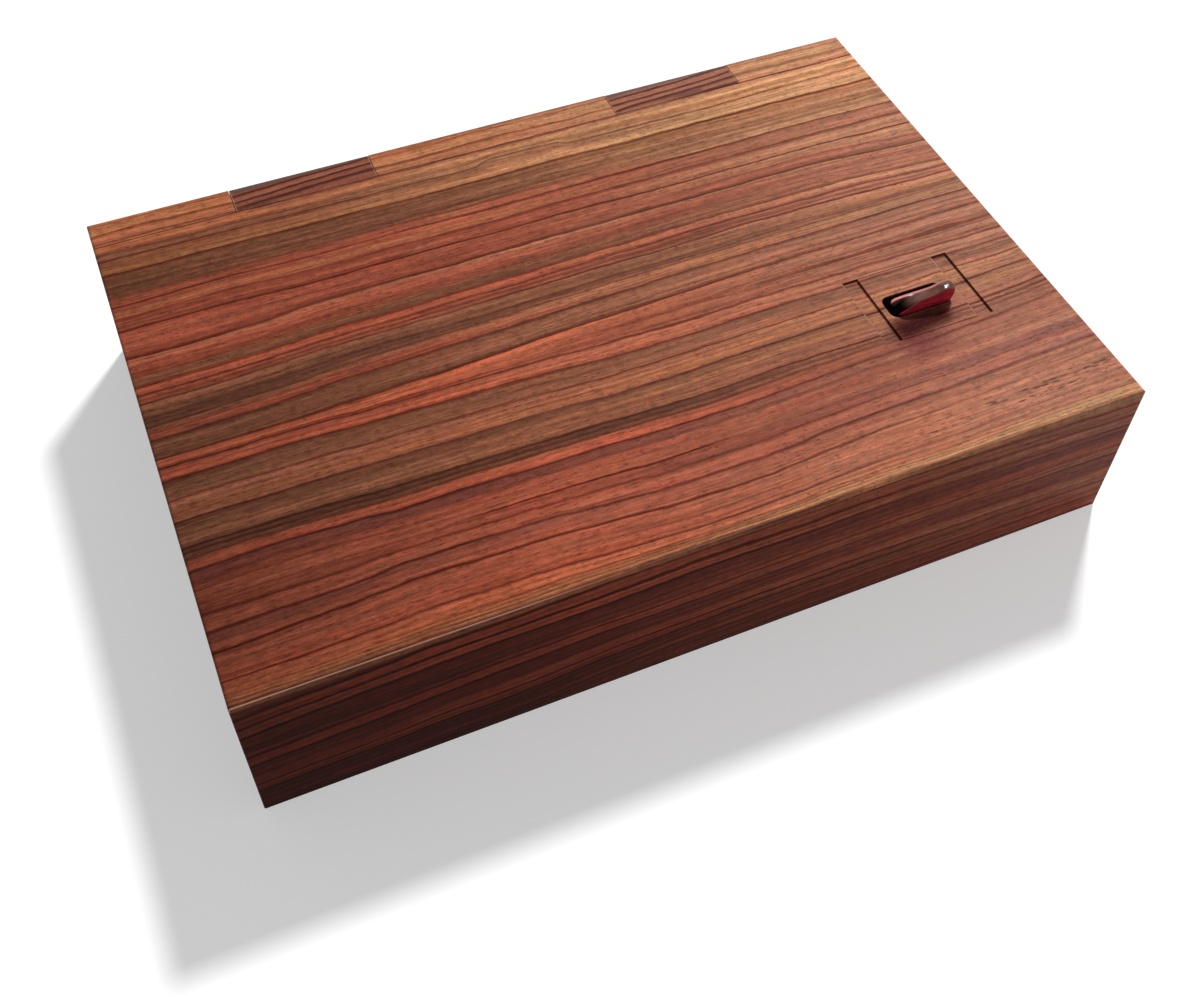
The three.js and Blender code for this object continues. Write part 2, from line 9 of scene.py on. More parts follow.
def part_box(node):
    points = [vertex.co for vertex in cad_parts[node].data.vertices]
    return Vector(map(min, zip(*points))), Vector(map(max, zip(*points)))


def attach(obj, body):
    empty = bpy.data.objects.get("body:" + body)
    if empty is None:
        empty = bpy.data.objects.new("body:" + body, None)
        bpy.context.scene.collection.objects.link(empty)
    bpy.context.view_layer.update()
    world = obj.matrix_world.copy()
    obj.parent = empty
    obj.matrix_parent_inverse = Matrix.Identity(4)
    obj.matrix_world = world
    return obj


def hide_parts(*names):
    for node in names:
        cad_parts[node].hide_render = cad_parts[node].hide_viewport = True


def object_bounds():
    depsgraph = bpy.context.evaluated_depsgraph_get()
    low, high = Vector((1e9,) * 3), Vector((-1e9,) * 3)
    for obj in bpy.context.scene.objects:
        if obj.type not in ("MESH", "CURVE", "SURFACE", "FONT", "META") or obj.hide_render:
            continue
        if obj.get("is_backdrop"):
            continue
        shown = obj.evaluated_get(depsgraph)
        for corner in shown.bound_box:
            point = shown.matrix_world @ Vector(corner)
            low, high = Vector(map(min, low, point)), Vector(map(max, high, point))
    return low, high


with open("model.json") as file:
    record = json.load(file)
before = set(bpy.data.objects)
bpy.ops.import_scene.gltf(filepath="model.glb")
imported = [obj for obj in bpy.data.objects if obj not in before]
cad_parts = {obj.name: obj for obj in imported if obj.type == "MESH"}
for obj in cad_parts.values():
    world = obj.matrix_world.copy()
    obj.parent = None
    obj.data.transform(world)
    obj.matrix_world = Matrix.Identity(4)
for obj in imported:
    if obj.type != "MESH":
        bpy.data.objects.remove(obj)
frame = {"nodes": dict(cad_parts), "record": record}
cad_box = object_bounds()

# Units: the scene is in metres, and every size below is in millimetres
MM = 0.001
UNITS_PER_METRE = 1000

# Sizes of the box. The front's grain goes on from the top's: it folds down at a height, and where
# it is unfolded its lower end lies at a place across the grain.
HALF_WIDTH = 170
HALF_DEPTH = 116.5
TOP = 69
FOLD_HEIGHT = 67.3
UNFOLDED_END = -HALF_DEPTH - FOLD_HEIGHT

# Camera: place, view directions and lens
CAMERA_PLACE = (-155.178, -353.393, 463.286)
CAMERA_RIGHT = (0.919887, -0.391827, 0.016699)
CAMERA_DOWN = (-0.292455, -0.713717, -0.636457)
CAMERA_FORWARD = (0.261300, 0.580585, -0.771131)
CAMERA_LENS = 43.245
CAMERA_SHIFT = -0.0609
CAMERA_CLIP = (0.01, 50)

# Tones, as sRGB out of a full 255
FULL = 255
TONES = {
    "straw": (190, 140, 98),
    "sand": (174, 122, 88),
    "tan": (162, 104, 70),
    "honey": (154, 90, 61),
    "rose": (160, 100, 76),
    "clay": (148, 88, 66),
    "orange": (172, 92, 63),
    "coral": (167, 82, 59),
    "brick": (150, 77, 57),
    "rust": (134, 66, 49),
    "cocoa": (132, 81, 60),
    "olive": (122, 75, 54),
    "umber": (112, 67, 49),
    "moss": (99, 58, 45),
    "plum": (122, 64, 53),
    "ember": (150, 70, 50),
    "russet": (138, 60, 44),
    "wine": (108, 43, 35),
    "bark": (84, 35, 26),
    "line": (60, 28, 20),
    "ink": (130, 70, 45),
    "mauve": (126, 70, 55),
    "haze": (142, 88, 69),
    "smoke": (92, 56, 46),
    "seam": (70, 30, 20),
    "dusky": (134, 78, 66),
    "lean_brown": (246, 255, 250),
    "lean_red": (255, 244, 240),
    "arris_highlight": (214, 168, 150),
    "recess_wall_shade": (88, 40, 26),
    "mortise": (12, 4, 3),
    "shadow_and_stain": (58, 22, 24),
    "veil": (96, 20, 28),
    "edge_glints": (214, 172, 152),
    "tongue_back_shade": (88, 74, 68),
    "tongue_tip": (206, 164, 140),
    "pale_light": (196, 152, 102),
    "pale_dark": (170, 122, 76),
    "hard_light": (112, 72, 46),
    "hard_dark": (82, 50, 32),
    "brass_light": (204, 164, 92),
    "brass_dark": (180, 138, 70),
    "crimson_light": (220, 62, 82),
    "crimson_dark": (160, 38, 54),
    "crimson_deep": (96, 12, 24),
    "button_top_reflection_light": (98, 66, 54),
    "button_top_reflection_dark": (76, 46, 38),
    "button_glint": (206, 128, 124),
    "scoop_shade": (8, 3, 3),
}
BLACK = (0, 0, 0, 1)
WHITE = (1, 1, 1, 1)

# Varnished wood: how strongly it shines, in what tint, and how strong and deep its relief is
SATIN = 0.03
SATIN_TINT = (1, 0.74, 0.56, 1)
STRIPED_RELIEF = (0.25, 0.12)
WOOD_RELIEF = (0.2, 0.1)

# The range that most values of a noise lie in, and a wider one
USUAL = (0.3, 0.7)
WIDE = (0.2, 0.8)

# The most stops that one colour ramp is given
RAMP_STOPS = 30


def linear(tone):
    """A named tone as a linear colour."""
    colour = Color([value / FULL for value in TONES[tone]])
    return (*colour.from_srgb_to_scene_linear(), 1)


def table(text):
    """Rows of numbers and tone names, with commas between the rows."""
    rows = [row.split() for row in text.split(",")]
    return [tuple(word if word in TONES else float(word) for word in row) for row in rows]


class Tree:
    """A node tree, with a short call for each kind of node."""

    def __init__(self, tree):
        self.tree = tree

    def node(self, kind, **settings):
        made = self.tree.nodes.new(kind)
        for name, value in settings.items():
            setattr(made, name, value)
        return made

    def put(self, socket, value):
        """Joins a socket to another one, or gives it a value or a named tone of its own."""
        if isinstance(value, bpy.types.NodeSocket):
            self.tree.links.new(value, socket)
        elif isinstance(value, str):
            socket.default_value = linear(value)
        elif value is not None:
            socket.default_value = value

    def math(self, operation, first, second=None, third=None):
        made = self.node("ShaderNodeMath", operation=operation)
        for socket, value in zip(made.inputs, (first, second, third)):
            self.put(socket, value)
        return made.outputs[0]

    def add(self, first, second):
        return self.math("ADD", first, second)

    def minus(self, first, second):
        return self.math("SUBTRACT", first, second)

    def times(self, first, *others):
        for other in others:
            first = self.math("MULTIPLY", first, other)
        return first

    def larger(self, first, second):
        return self.math("MAXIMUM", first, second)

    def size(self, value):
        """How far a value is from zero."""
        return self.math("ABSOLUTE", value)

    def near(self, value, middle, reach):
        """One within reach of a middle, and zero elsewhere."""
        return self.math("COMPARE", value, middle, reach)

    def inside(self, place, zone):
        """One inside a zone, which has a middle and a reach for each axis, and zero elsewhere."""
        return self.times(*[self.near(part, *span) for part, span in zip(place, zone)])

    def shift(self, value, low, high, to_low=0, to_high=1, smooth=False):
        """Carries a value from one range to another, held at its ends."""
        kind = "SMOOTHSTEP" if smooth else "LINEAR"
        made = self.node("ShaderNodeMapRange", interpolation_type=kind, clamp=True)
        for socket, number in zip(made.inputs, (value, low, high, to_low, to_high)):
            self.put(socket, number)
        return made.outputs[0]

    def rise(self, value, low, high):
        """Rises smoothly from zero to one over a range."""
        return self.shift(value, low, high, smooth=True)

    def fall(self, value, low, high):
        """Falls smoothly from one to zero over a range."""
        return self.shift(value, low, high, 1, 0, smooth=True)

    def vector(self, x, y, z):
        made = self.node("ShaderNodeCombineXYZ")
        for socket, value in zip(made.inputs, (x, y, z)):
            self.put(socket, value)
        return made.outputs[0]

    def noise(self, place, scale=1, detail=2):
        made = self.node("ShaderNodeTexNoise")
        self.put(made.inputs["Vector"], place)
        made.inputs["Scale"].default_value = scale
        made.inputs["Detail"].default_value = detail
        return made.outputs["Fac"]

    def grain(self, along, across, fine_along, fine_across, layer, detail):
        """Noise stretched along the grain, on a layer of its own."""
        place = self.vector(self.times(along, fine_along), self.times(across, fine_across), layer)
        return self.noise(place, detail=detail)

    def marks(self, along, across, layer, share, fine_along, fine_across, faint, full):
        """Short marks along the grain, in a share of all places, each with a soft edge."""
        made = self.node("ShaderNodeTexVoronoi")
        place = self.vector(self.times(along, fine_along), self.times(across, fine_across), layer)
        self.put(made.inputs["Vector"], place)
        made.inputs["Scale"].default_value = 1
        chance = self.node("ShaderNodeSeparateColor")
        self.put(chance.inputs[0], made.outputs["Color"])
        shown = self.math("LESS_THAN", chance.outputs[0], share)
        return self.times(shown, self.shift(made.outputs["Distance"], faint, full))

    def mix(self, share, first, second, blend="MIX"):
        made = self.node("ShaderNodeMix", data_type="RGBA", blend_type=blend)
        self.put(made.inputs[0], share)
        self.put(made.inputs[6], first)
        self.put(made.inputs[7], second)
        return made.outputs[2]

    def tint(self, colour, tone, share=1):
        """A colour times a tone."""
        return self.mix(share, colour, tone, blend="MULTIPLY")

    def shaded(self, colour, shade):
        """A colour times a brightness."""
        return self.tint(colour, self.vector(shade, shade, shade))

    def curve(self, value, points):
        """A smooth curve through points, each a place and a height."""
        low, high = points[0][0], points[-1][0]
        heights = [height for _, height in points]
        bottom, top = min(heights), max(heights)
        made = self.node("ShaderNodeFloatCurve")
        curve = made.mapping.curves[0]
        shares = [((p - low) / (high - low), (h - bottom) / (top - bottom)) for p, h in points]
        curve.points[0].location = shares[0]
        curve.points[1].location = shares[-1]
        for share in shares[1:-1]:
            curve.points.new(*share)
        for point in curve.points:
            point.handle_type = "AUTO_CLAMPED"
        made.mapping.update()
        self.put(made.inputs["Value"], self.shift(value, low, high))
        return self.shift(made.outputs[0], 0, 1, bottom, top)

    def bands(self, value, stops):
        """Colours at places along a line, on as many ramps as they need."""
        result = None
        for start in range(0, len(stops) - 1, RAMP_STOPS - 1):
            chunk = stops[start : start + RAMP_STOPS]
            low, high = chunk[0][0], chunk[-1][0]
            ramp = self.node("ShaderNodeValToRGB")
            elements = ramp.color_ramp.elements
            elements[0].position, elements[0].color = 0, chunk[0][1]
            elements[1].position, elements[1].color = 1, chunk[-1][1]
            for place, colour in chunk[1:-1]:
                elements.new((place - low) / (high - low)).color = colour
            self.put(ramp.inputs[0], self.shift(value, low, high))
            colour = ramp.outputs[0]
            if result is None:
                result = colour
            else:
                result = self.mix(self.math("GREATER_THAN", value, low), result, colour)
        return result

    def striped(self, place, rows, share):
        """Bands in rows of a place and two tones, from the first tones to the second ones."""
        ends = [[(row[0], linear(row[end])) for row in rows] for end in (1, 2)]
        return self.mix(share, *[self.bands(place, stops) for stops in ends])


# Tones across the grain, from the back edge of the top to the front edge and on down the front.
# Each row is a place in millimetres, a tone at the left end and a tone at the right end.
TOP_BANDS = table(
    """
    117 honey clay, 112.6 honey sand, 109.5 tan sand, 106.4 honey sand, 104 honey sand,
    101.8 clay rose, 99.5 honey sand, 97.4 honey straw, 95 olive tan, 92.6 cocoa straw,
    91 olive sand, 89 honey sand, 85 tan straw, 83.6 honey tan, 82.6 olive tan, 79.6 olive tan,
    76.8 cocoa sand, 74.4 umber tan, 71.4 cocoa sand, 69.6 brick sand, 67 brick sand,
    65.6 brick cocoa, 64 brick rose, 61 honey rose, 59 brick clay, 57.4 rust rose, 55 brick sand,
    52.8 rust rose, 51 rust sand, 46 brick clay, 42.6 rust clay, 40.9 rust rose, 39.9 clay sand,
    37.6 brick rose, 36 brick clay, 32 rust rose, 29 olive clay, 26 umber clay, 24.6 coral sand,
    22 brick rose, 20.4 brick rose, 18.6 rust clay, 16.9 clay rose, 15.6 cocoa rose, 12 olive tan,
    9.6 moss cocoa, 6.6 umber clay, 5.4 cocoa tan, 3 brick sand, 0.5 brick rose, -1 umber cocoa,
    -6 cocoa rose, -10.4 umber clay, -11.3 coral rose, -13.8 orange rose, -16.2 coral rose,
    -17.4 rust clay, -19.2 brick rose, -22.4 coral rose, -23.8 brick clay, -25 umber cocoa,
    -28 olive cocoa, -32.2 cocoa clay, -33.4 clay tan, -36 clay rose, -39 honey tan,
    -41.4 clay clay, -42.8 umber cocoa, -46 olive tan, -50 cocoa clay, -53.6 olive clay,
    -55 moss clay, -58.6 umber clay, -60.2 brick clay, -62.8 coral clay, -64.4 plum clay,
    -67 plum clay, -70 rust clay, -72 brick clay, -75.4 brick rose, -76.8 rust dusky,
    -79.6 rust dusky, -81.6 brick clay, -85 brick dusky, -87 plum clay, -91 brick rose,
    -93.6 brick rose, -95.5 brick rose, -100 brick rose, -104 coral rose, -106 brick rose,
    -108 orange rose, -110.6 orange rose, -112.6 honey sand, -114.4 tan straw, -116.4 tan sand
    """
)

# The same for the front, each place a height above the floor
FRONT_BANDS = table(
    """
    68 wine clay, 66 wine brick, 65 bark plum, 63.5 russet clay, 60.5 russet clay, 59.2 bark rust,
    57.6 ember clay, 55 ember rose, 53.6 bark rust, 52 bark plum, 48.4 wine plum, 46.5 bark plum,
    43 bark brick, 41.6 wine brick, 40.4 bark rust, 39 russet clay, 36 russet clay, 34.8 bark rust,
    32.6 bark plum, 29.6 wine plum, 27 bark rust, 24.6 russet clay, 22 russet rose, 20.5 bark rust,
    19.2 ember clay, 17.4 russet clay, 16 bark rust, 13 bark clay, 10 bark rust, 7.4 wine brick,
    5 bark rust, 2 bark brick, -1 bark rust
    """
)

# Dark lines across the grain: place, strength, reach towards the back and towards the front
TOP_LINES = table(
    """
    113 0.55 0.5 0.7, 107 0.75 0.4 0.9, 101.3 0.7 0.3 0.7, 96.4 0.35 0.4 1.4, 91.8 0.8 0.9 0.5,
    88.6 0.2 0.4 0.4, 83.6 0.95 0.35 1.1, 80.8 0.3 0.5 0.6, 78 0.2 0.4 0.5, 75.6 0.35 0.6 0.6,
    73.2 0.4 0.5 0.5, 70.6 0.55 1.1 0.4, 66 0.9 0.4 0.6, 63 0.15 0.4 0.4, 58.8 0.7 0.3 1.4,
    55.8 0.2 0.4 0.4, 51.7 1 0.4 0.5, 46.4 0.12 0.8 0.8, 40.6 0.9 1.6 0.3, 36 0.2 0.3 0.4,
    33 0.25 0.3 0.5, 31 0.35 0.5 0.9, 28 0.25 0.5 0.6, 25 0.8 1.2 0.35, 20.9 0.8 0.5 0.5,
    18.6 0.4 0.4 0.5, 16.6 0.9 0.8 0.35, 12.8 0.3 0.5 0.4, 10.4 0.45 0.6 0.5, 8.4 0.35 0.4 0.4,
    6.2 0.55 0.7 0.4, 3.2 0.3 0.4 0.4, 1.6 0.25 0.3 0.3, -0.3 0.8 0.4 0.9, -4.6 0.2 0.4 0.4,
    -8 0.3 0.6 0.4, -11 0.9 1.5 0.3, -14 0.2 0.3 0.3, -16.6 0.55 0.4 0.3, -18.1 0.85 0.5 0.4,
    -21 0.25 0.3 0.3, -24.1 0.9 0.3 1, -28.4 0.2 0.4 0.4, -33 0.8 0.4 0.4, -35.6 0.3 0.3 0.3,
    -38 0.35 0.4 0.3, -42 0.85 0.3 0.8, -45.4 0.35 0.4 0.5, -48.5 0.3 0.5 0.4, -51 0.25 0.3 0.4,
    -54.4 1 0.4 0.8, -56.7 0.7 0.7 0.6, -59 0.75 0.8 0.4, -64 0.95 0.35 0.8, -68 0.25 0.6 0.5,
    -71.6 0.35 0.5 0.4, -80.4 0.7 0.5 0.7, -85.8 1 0.4 0.7, -89 0.15 0.5 0.5, -93.1 0.95 0.7 0.4,
    -98 0.2 0.4 0.4, -103 0.3 0.4 0.4, -105.5 0.85 0.4 0.5, -108.2 0.3 0.3 0.4,
    -110.9 0.55 0.4 0.4, -112.3 0.5 0.4 0.4, -113.7 0.6 0.5 0.4, -115.3 0.35 0.3 0.3
    """
)
FRONT_LINES = table(
    """
    68 0.5 0.3 0.4, 65 0.95 0.5 0.6, 61.8 0.3 0.4 0.4, 59 1 0.4 0.6, 56.5 0.3 0.4 0.4,
    53.5 1 0.4 0.8, 49.6 0.4 0.5 0.5, 46.4 0.35 0.5 0.5, 43.2 0.3 0.5 0.4, 40.4 0.8 0.5 0.4,
    37.8 0.3 0.3 0.3, 34.8 1 0.4 0.8, 30.8 0.4 0.5 0.5, 27.6 0.4 0.5 0.5, 23.4 0.35 0.3 0.3,
    20.4 1 0.4 0.4, 18 0.4 0.3 0.3, 15.9 0.9 0.3 0.8, 12.6 0.35 0.5 0.5, 9.4 0.4 0.5 0.5,
    6 0.5 0.5 0.5, 3 0.5 0.4 0.4
    """
)

# Dark lines that show along part of the grain: place, strength, left end and right end
SHORT_LINES = [
    (-76, 0.95, -75, 22),
    (-84.6, 0.5, -60, 0),
    (-99.6, 0.4, -30, 40),
    (72.6, 0.5, -70, 35),
    (70.2, 0.5, -60, 40),
    (33, 0.5, 25, 60),
]

# Rows of pores near the right front corner: left end, place, slope and half the width
PORE_ROWS = [(112, -99.6, 0.04, 1.1), (84, -103, 0.012, 0.7)]

# How far the grain wanders, in millimetres: curves in pairs, each a shape along the grain and then
# how strongly it shows across it
WANDER = """
    -170 0.15, -90 0, -62 0.12, -40 0.5, -20 0.82, 0 1, 12 1, 50 0.7, 80 0.5, 170 0.15;
    -118 0, -112 -1.5, -105 -4.8, -95 -5.2, -88 -4.6, -76 -2.4, -64 -1.9, -44 -2.2, -33 -2.2,
    -20 -1, -10 0, 117 0;
    -170 -0.2, -130 -0.2, -90 0, -50 0.2, -10 0.45, 70 0.8, 170 1;
    -118 0, -55 0, -33 -1.5, -24 -2.4, -18 -1.8, -15 2, -11 6, -6 6.2, 0 5.6, 8 3.5, 16 1.9,
    25 2.8, 40 0.8, 52 0, 117 0;
    -170 0, 95 0, 130 0.3, 150 0.6, 170 1;
    -118 0, -105 0.8, -80 1.5, -64 3.8, -55 4.3, -36 1, -20 0, 0 0, 25 -3.8, 40 -4.6, 46 -2.4,
    50 -1.2, 60 -0.5, 84 0, 92 1.5, 117 0;
    -170 1, -150 1, -130 0.9, -110 0.5, -90 0, 170 0;
    -118 0, -105 -0.4, -93 -1.2, -85 -0.9, -64 2, -54 2, -42 0.8, -18 1.3, -11 -1, 0 -1.3, 25 -1.3,
    38 -2.2, 52 1.3, 92 0.7, 103 2, 117 0;
    -170 0, -24 0, -12 0.5, -2 1, 18 1, 26 0.3, 40 0, 170 0;
    -118 0, 80 0, 86 0.6, 91 2.6, 94.5 3, 97 0.6, 100 0, 117 0;
    -170 -1, -120 -0.42, -90 0, 170 0;
    -185 1.6, -170 2, -164 3.1, -156 3.6, -149 4.4, -144 2.8, -130 3.4, -124 3.4, -118.5 0.8,
    -116.5 0, 117 0;
    -170 0, -90 0, -40 0.75, 0 1, 170 1;
    -185 4, -172 4.1, -164 3.8, -156 3, -149 2.1, -144 0.8, -130 0.7, -124 1.1, -118 2, -116.5 0,
    117 0;
    -170 0, 40 0, 100 -0.35, 140 -0.7, 170 -1;
    -185 2, -174 3, -164 4.5, -160 5.5, -149 3, -130 3.4, -118 4, -116.5 0, 117 0
"""

# Painted shade, the left end dimmer: how much darker the wood is there, and where across the grain
# this shows
LEFT_PAINTED_SHADE = table("-170 0.4, -130 0.3, -80 0.15, -20 0, 170 0")
PAINTED_SHADE_ACROSS = table(
    """
    -185 1, -140 1, -130 1.5, -117 1.2, -85 1.55, -60 1.35, -46 0.95, -10 1.2, 18 0.7, 35 0.3,
    60 0.5, 80 1, 90 1, 98 0.3, 117 0.3
    """
)

# Where the left end's tones turn into the right end's, and how much farther to the right that is
# across the grain
RIGHT_TONES = (-110, 130)
DELAY = table(
    """
    -185 0, -118 0, -115 35, -84 35, -80 60, -58 75, -54 65, -51 12, 0 22, 18 48, 72 55, 80 5,
    117 0
    """
)

# How much redder the wood is across the grain and along it, a ramp of painted sheen that pales the
# right end, and what all this does to red and blue
BLUSH = table(
    """
    -185 0, -117 0.3, -100 0.45, -60 0.4, -50 0.4, 0 0.25, 20 0, 72 0, 80 -0.1, 88 -0.3, 117 0
    """
)
BLUSH_SHARES = table("-170 -0.5, -125 -0.2, -100 0.4, -50 1, 60 1, 95 0, 125 -1, 170 -1.2")
RIGHT_SHEEN_PALING = (90, 150, 0, -0.35)
BLUSH_REDS = (0.9, 1.1)
BLUSH_BLUES = (1.1, 0.9)

# How bright the wood is across the grain, and the painted light at its right end and on the front
# towards the right
LIGHT = table(
    """
    -185 1, -117 1, -100 1.09, -68 1.07, -60 1, -46 1, -40 1.09, -4 1.09, 8 1.05, 25 1.03, 86 1.03,
    94 1.2, 110 1.22, 117 1.18
    """
)
RIGHT_LIGHT = (80, 150, 1, 1.22)
FRONT_LIGHT = (-60, 60, 0, 0.16)

# How much fainter the dark lines are at the right end, and where they grow faint
FAINT_LINES = table("-185 0.55, -117 0.5, -80 0.45, -60 0.3, -50 0, 117 0")
FAINT_ALONG = (10, 130)

# Where the front begins across the grain
FRONT_STARTS = (-117, -118)

# Noises in the striped wood: how fine along and across the grain, a layer of its own, and detail
SLOW_WAVER = (0.022, 0.05, 3.1, 1)
QUICK_WAVER = (0.12, 0.3, 8.4, 3)
PATCHES = (0.012, 0.09, 5.7, 2)
STREAKS = (0.009, 0.55, 1.3, 3)
FIBRES = (0.06, 1.3, 2.2, 3)
MOTTLE = (0.22, 0.35, 6.1, 2)
SPECKS = (0.4, 1.9, 4.4, 2)
GRIT = (0.9, 1.7, 3.9, 2)
THREADS = (0.012, 1.4, 7.7, 2)
WARMTH = (0.05, 0.8, 7.3, 2)
LINE_FADE = (0.02, 0.5, 6.6, 2)
EXTRA_LINES = (0.004, 1.1, 9.2, 1)
PORE_CROWD = (0.03, 0.16, 7.9, 2)

# What they do: two move the grain and one its change of tones, in mm, and the others shade it
SLOW_REACH = (-0.7, 0.7)
QUICK_REACH = (-0.35, 0.35)
PATCH_REACH = (0.25, 0.75, -50, 50)
STREAK_SHADES = (0.72, 1.25)
FIBRE_SHADES = (0.28, 0.72, 0.72, 1.28)
MOTTLE_SHADES = (0.86, 1.14)
SPECK_SHADES = (0.88, 1.12)
GRIT_SHADES = (0.86, 1.14)
THREAD_SHADES = (0.1, 0.28)

# Dark lines: the width of a core, how the short ones fade at their ends and sides, the faint extra
# ones, and how rough and low they are
LINE_CORE = 0.35
SHORT_LEFT = (-12, 4)
SHORT_RIGHT = (4, -14)
SHORT_SIDE = (0.65, 0.2)
LINE_STRENGTH = (0.3, 0.6, 0.75, 1)
EXTRA_CUT = (0.6, 0.7)
EXTRA_STRENGTH = 0.35
LINE_ROUGHNESS = 0.08
LINE_RELIEF = 0.5
FIBRE_RELIEF = 0.4
WOOD_ROUGHNESS = (0.36, 0.5)

# Flecks, pores and rows of pores: how fine along and across the grain, and where an edge fades
FLECKS = (0.24, 1.1, 0.5, 0.2)
PORES = (0.4, 1.7, 0.42, 0.22)
ROWS = (0.22, 1.1, 0.55, 0.3)

# The share of places that hold one, and their strength
FLECK_SHARE = 0.25
FLECK_STRENGTH = 0.45
PORE_SHARES = (0.4, 0.8, 0.02, 0.4)
PORE_STRENGTH = 0.6
ROW_SHARE = 0.55
ROW_STRENGTH = 0.75

# The flecks' layer, how quickly pores change into the wood, and where a row's slope pivots
FLECK_LAYER = 0.5
PORE_INTO = 0.5
ROW_PIVOT = 130

# Painted highlight on the top's front edge: its place across, half its width, its ends and its
# patches
ARRIS_HIGHLIGHT_PLACE = -116.3
ARRIS_HIGHLIGHT_HALF = 0.18
ARRIS_HIGHLIGHT_ALONG = (40, -60)
ARRIS_HIGHLIGHT_PATCHES = (0.35, 0.5, 0.2, 0.6)


def striped_wood():
    """A node group: the striped wood at a place along, across and into the grain."""
    group = bpy.data.node_groups.new("striped_wood", "ShaderNodeTree")
    for name in ("Along", "Across", "Into"):
        group.interface.new_socket(name, in_out="INPUT", socket_type="NodeSocketFloat")
    for name, kind in (("Colour", "Color"), ("Roughness", "Float"), ("Height", "Float")):
        group.interface.new_socket(name, in_out="OUTPUT", socket_type="NodeSocket" + kind)
    tree = Tree(group)
    source = tree.node("NodeGroupInput")
    target = tree.node("NodeGroupOutput")
    along, across, into = source.outputs[:3]

    # The grain's own place across: wandering, with a small waver
    place = across
    curves = [table(rows) for rows in WANDER.split(";")]
    for shape, strength in zip(curves[::2], curves[1::2]):
        step = tree.times(tree.curve(along, shape), tree.curve(across, strength))
        place = tree.minus(place, step)
    slow = tree.grain(along, across, *SLOW_WAVER)
    quick = tree.grain(along, across, *QUICK_WAVER)
    place = tree.add(place, tree.shift(slow, *WIDE, *SLOW_REACH))
    place = tree.add(place, tree.shift(quick, *WIDE, *QUICK_REACH))

    # Broad bands, which change from the left end to the right end, whose paler tones are partly
    # painted sheen
    rows = [(height + UNFOLDED_END, left, right) for height, left, right in FRONT_BANDS]
    rows = sorted(TOP_BANDS + rows)
    patches = tree.grain(along, across, *PATCHES)
    reach = tree.add(along, tree.shift(patches, *PATCH_REACH))
    reach = tree.minus(reach, tree.curve(across, DELAY))
    colour = tree.striped(place, rows, tree.rise(reach, *RIGHT_TONES))

    # Streaks, fibres, mottling, specks, grit and threads
    streaks = tree.grain(along, place, *STREAKS)
    fibres = tree.grain(along, across, *FIBRES)
    mottle = tree.grain(along, across, *MOTTLE)
    specks = tree.grain(along, across, *SPECKS)
    grit = tree.grain(along, across, *GRIT)
    threads = tree.shift(tree.grain(along, place, *THREADS), *USUAL, -1, 1)
    on_front = tree.shift(across, *FRONT_STARTS)
    threads = tree.times(threads, tree.shift(on_front, 0, 1, *THREAD_SHADES))
    shade = tree.times(
        tree.shift(streaks, *USUAL, *STREAK_SHADES),
        tree.shift(fibres, *FIBRE_SHADES),
        tree.shift(mottle, *USUAL, *MOTTLE_SHADES),
        tree.shift(specks, *USUAL, *SPECK_SHADES),
        tree.shift(grit, *USUAL, *GRIT_SHADES),
        tree.add(threads, 1),
    )

    # Painted shade and light: the left end is darker, and the right end a little lighter
    painted_shade = tree.times(tree.curve(along, LEFT_PAINTED_SHADE), tree.curve(across, PAINTED_SHADE_ACROSS))
    shade = tree.times(shade, tree.minus(tree.shift(along, *RIGHT_LIGHT), painted_shade))
    shade = tree.times(shade, tree.curve(across, LIGHT))
    front_light = tree.times(on_front, tree.shift(along, *FRONT_LIGHT))
    shade = tree.times(shade, tree.add(front_light, 1))
    colour = tree.shaded(colour, shade)

    # Patches of the grain lean to brown or to red
    warmth = tree.grain(along, place, *WARMTH)
    lean = tree.mix(tree.shift(warmth, *USUAL), "lean_brown", "lean_red")
    colour = tree.tint(colour, lean)
    blush = tree.times(tree.curve(across, BLUSH), tree.curve(along, BLUSH_SHARES))
    # Painted sheen: the right end is paled
    blush = tree.add(blush, tree.shift(along, *RIGHT_SHEEN_PALING))
    red = tree.shift(blush, -1, 1, *BLUSH_REDS)
    blue = tree.shift(blush, -1, 1, *BLUSH_BLUES)
    colour = tree.tint(colour, tree.vector(red, 1, blue))

    # Thin dark lines, which fade in and out
    lines = []
    rows = [(height + UNFOLDED_END, *rest) for height, *rest in FRONT_LINES]
    for spot, strength, behind, ahead in TOP_LINES + rows:
        grey = (strength, strength, strength, 1)
        lines.append((spot - ahead - LINE_CORE, BLACK))
        lines.append((spot - LINE_CORE / 2, grey))
        lines.append((spot + LINE_CORE / 2, grey))
        lines.append((spot + behind + LINE_CORE, BLACK))
    lines.sort(key=lambda stop: stop[0])
    ink = tree.bands(place, lines)
    fade = tree.grain(along, place, *LINE_FADE)
    ink = tree.times(ink, tree.shift(fade, *LINE_STRENGTH))
    extra = tree.shift(tree.grain(along, place, *EXTRA_LINES), *EXTRA_CUT)
    ink = tree.larger(ink, tree.times(extra, EXTRA_STRENGTH))
    for spot, strength, start, end in SHORT_LINES:
        core = tree.size(tree.minus(place, spot))
        core = tree.times(tree.shift(core, *SHORT_SIDE), strength)
        core = tree.times(core, tree.shift(along, *[start + step for step in SHORT_LEFT]))
        core = tree.times(core, tree.shift(along, *[end + step for step in SHORT_RIGHT]))
        ink = tree.larger(ink, core)
    faint = tree.times(tree.shift(along, *FAINT_ALONG), tree.curve(across, FAINT_LINES))
    ink = tree.times(ink, tree.minus(1, faint))
    colour = tree.tint(colour, "ink", ink)

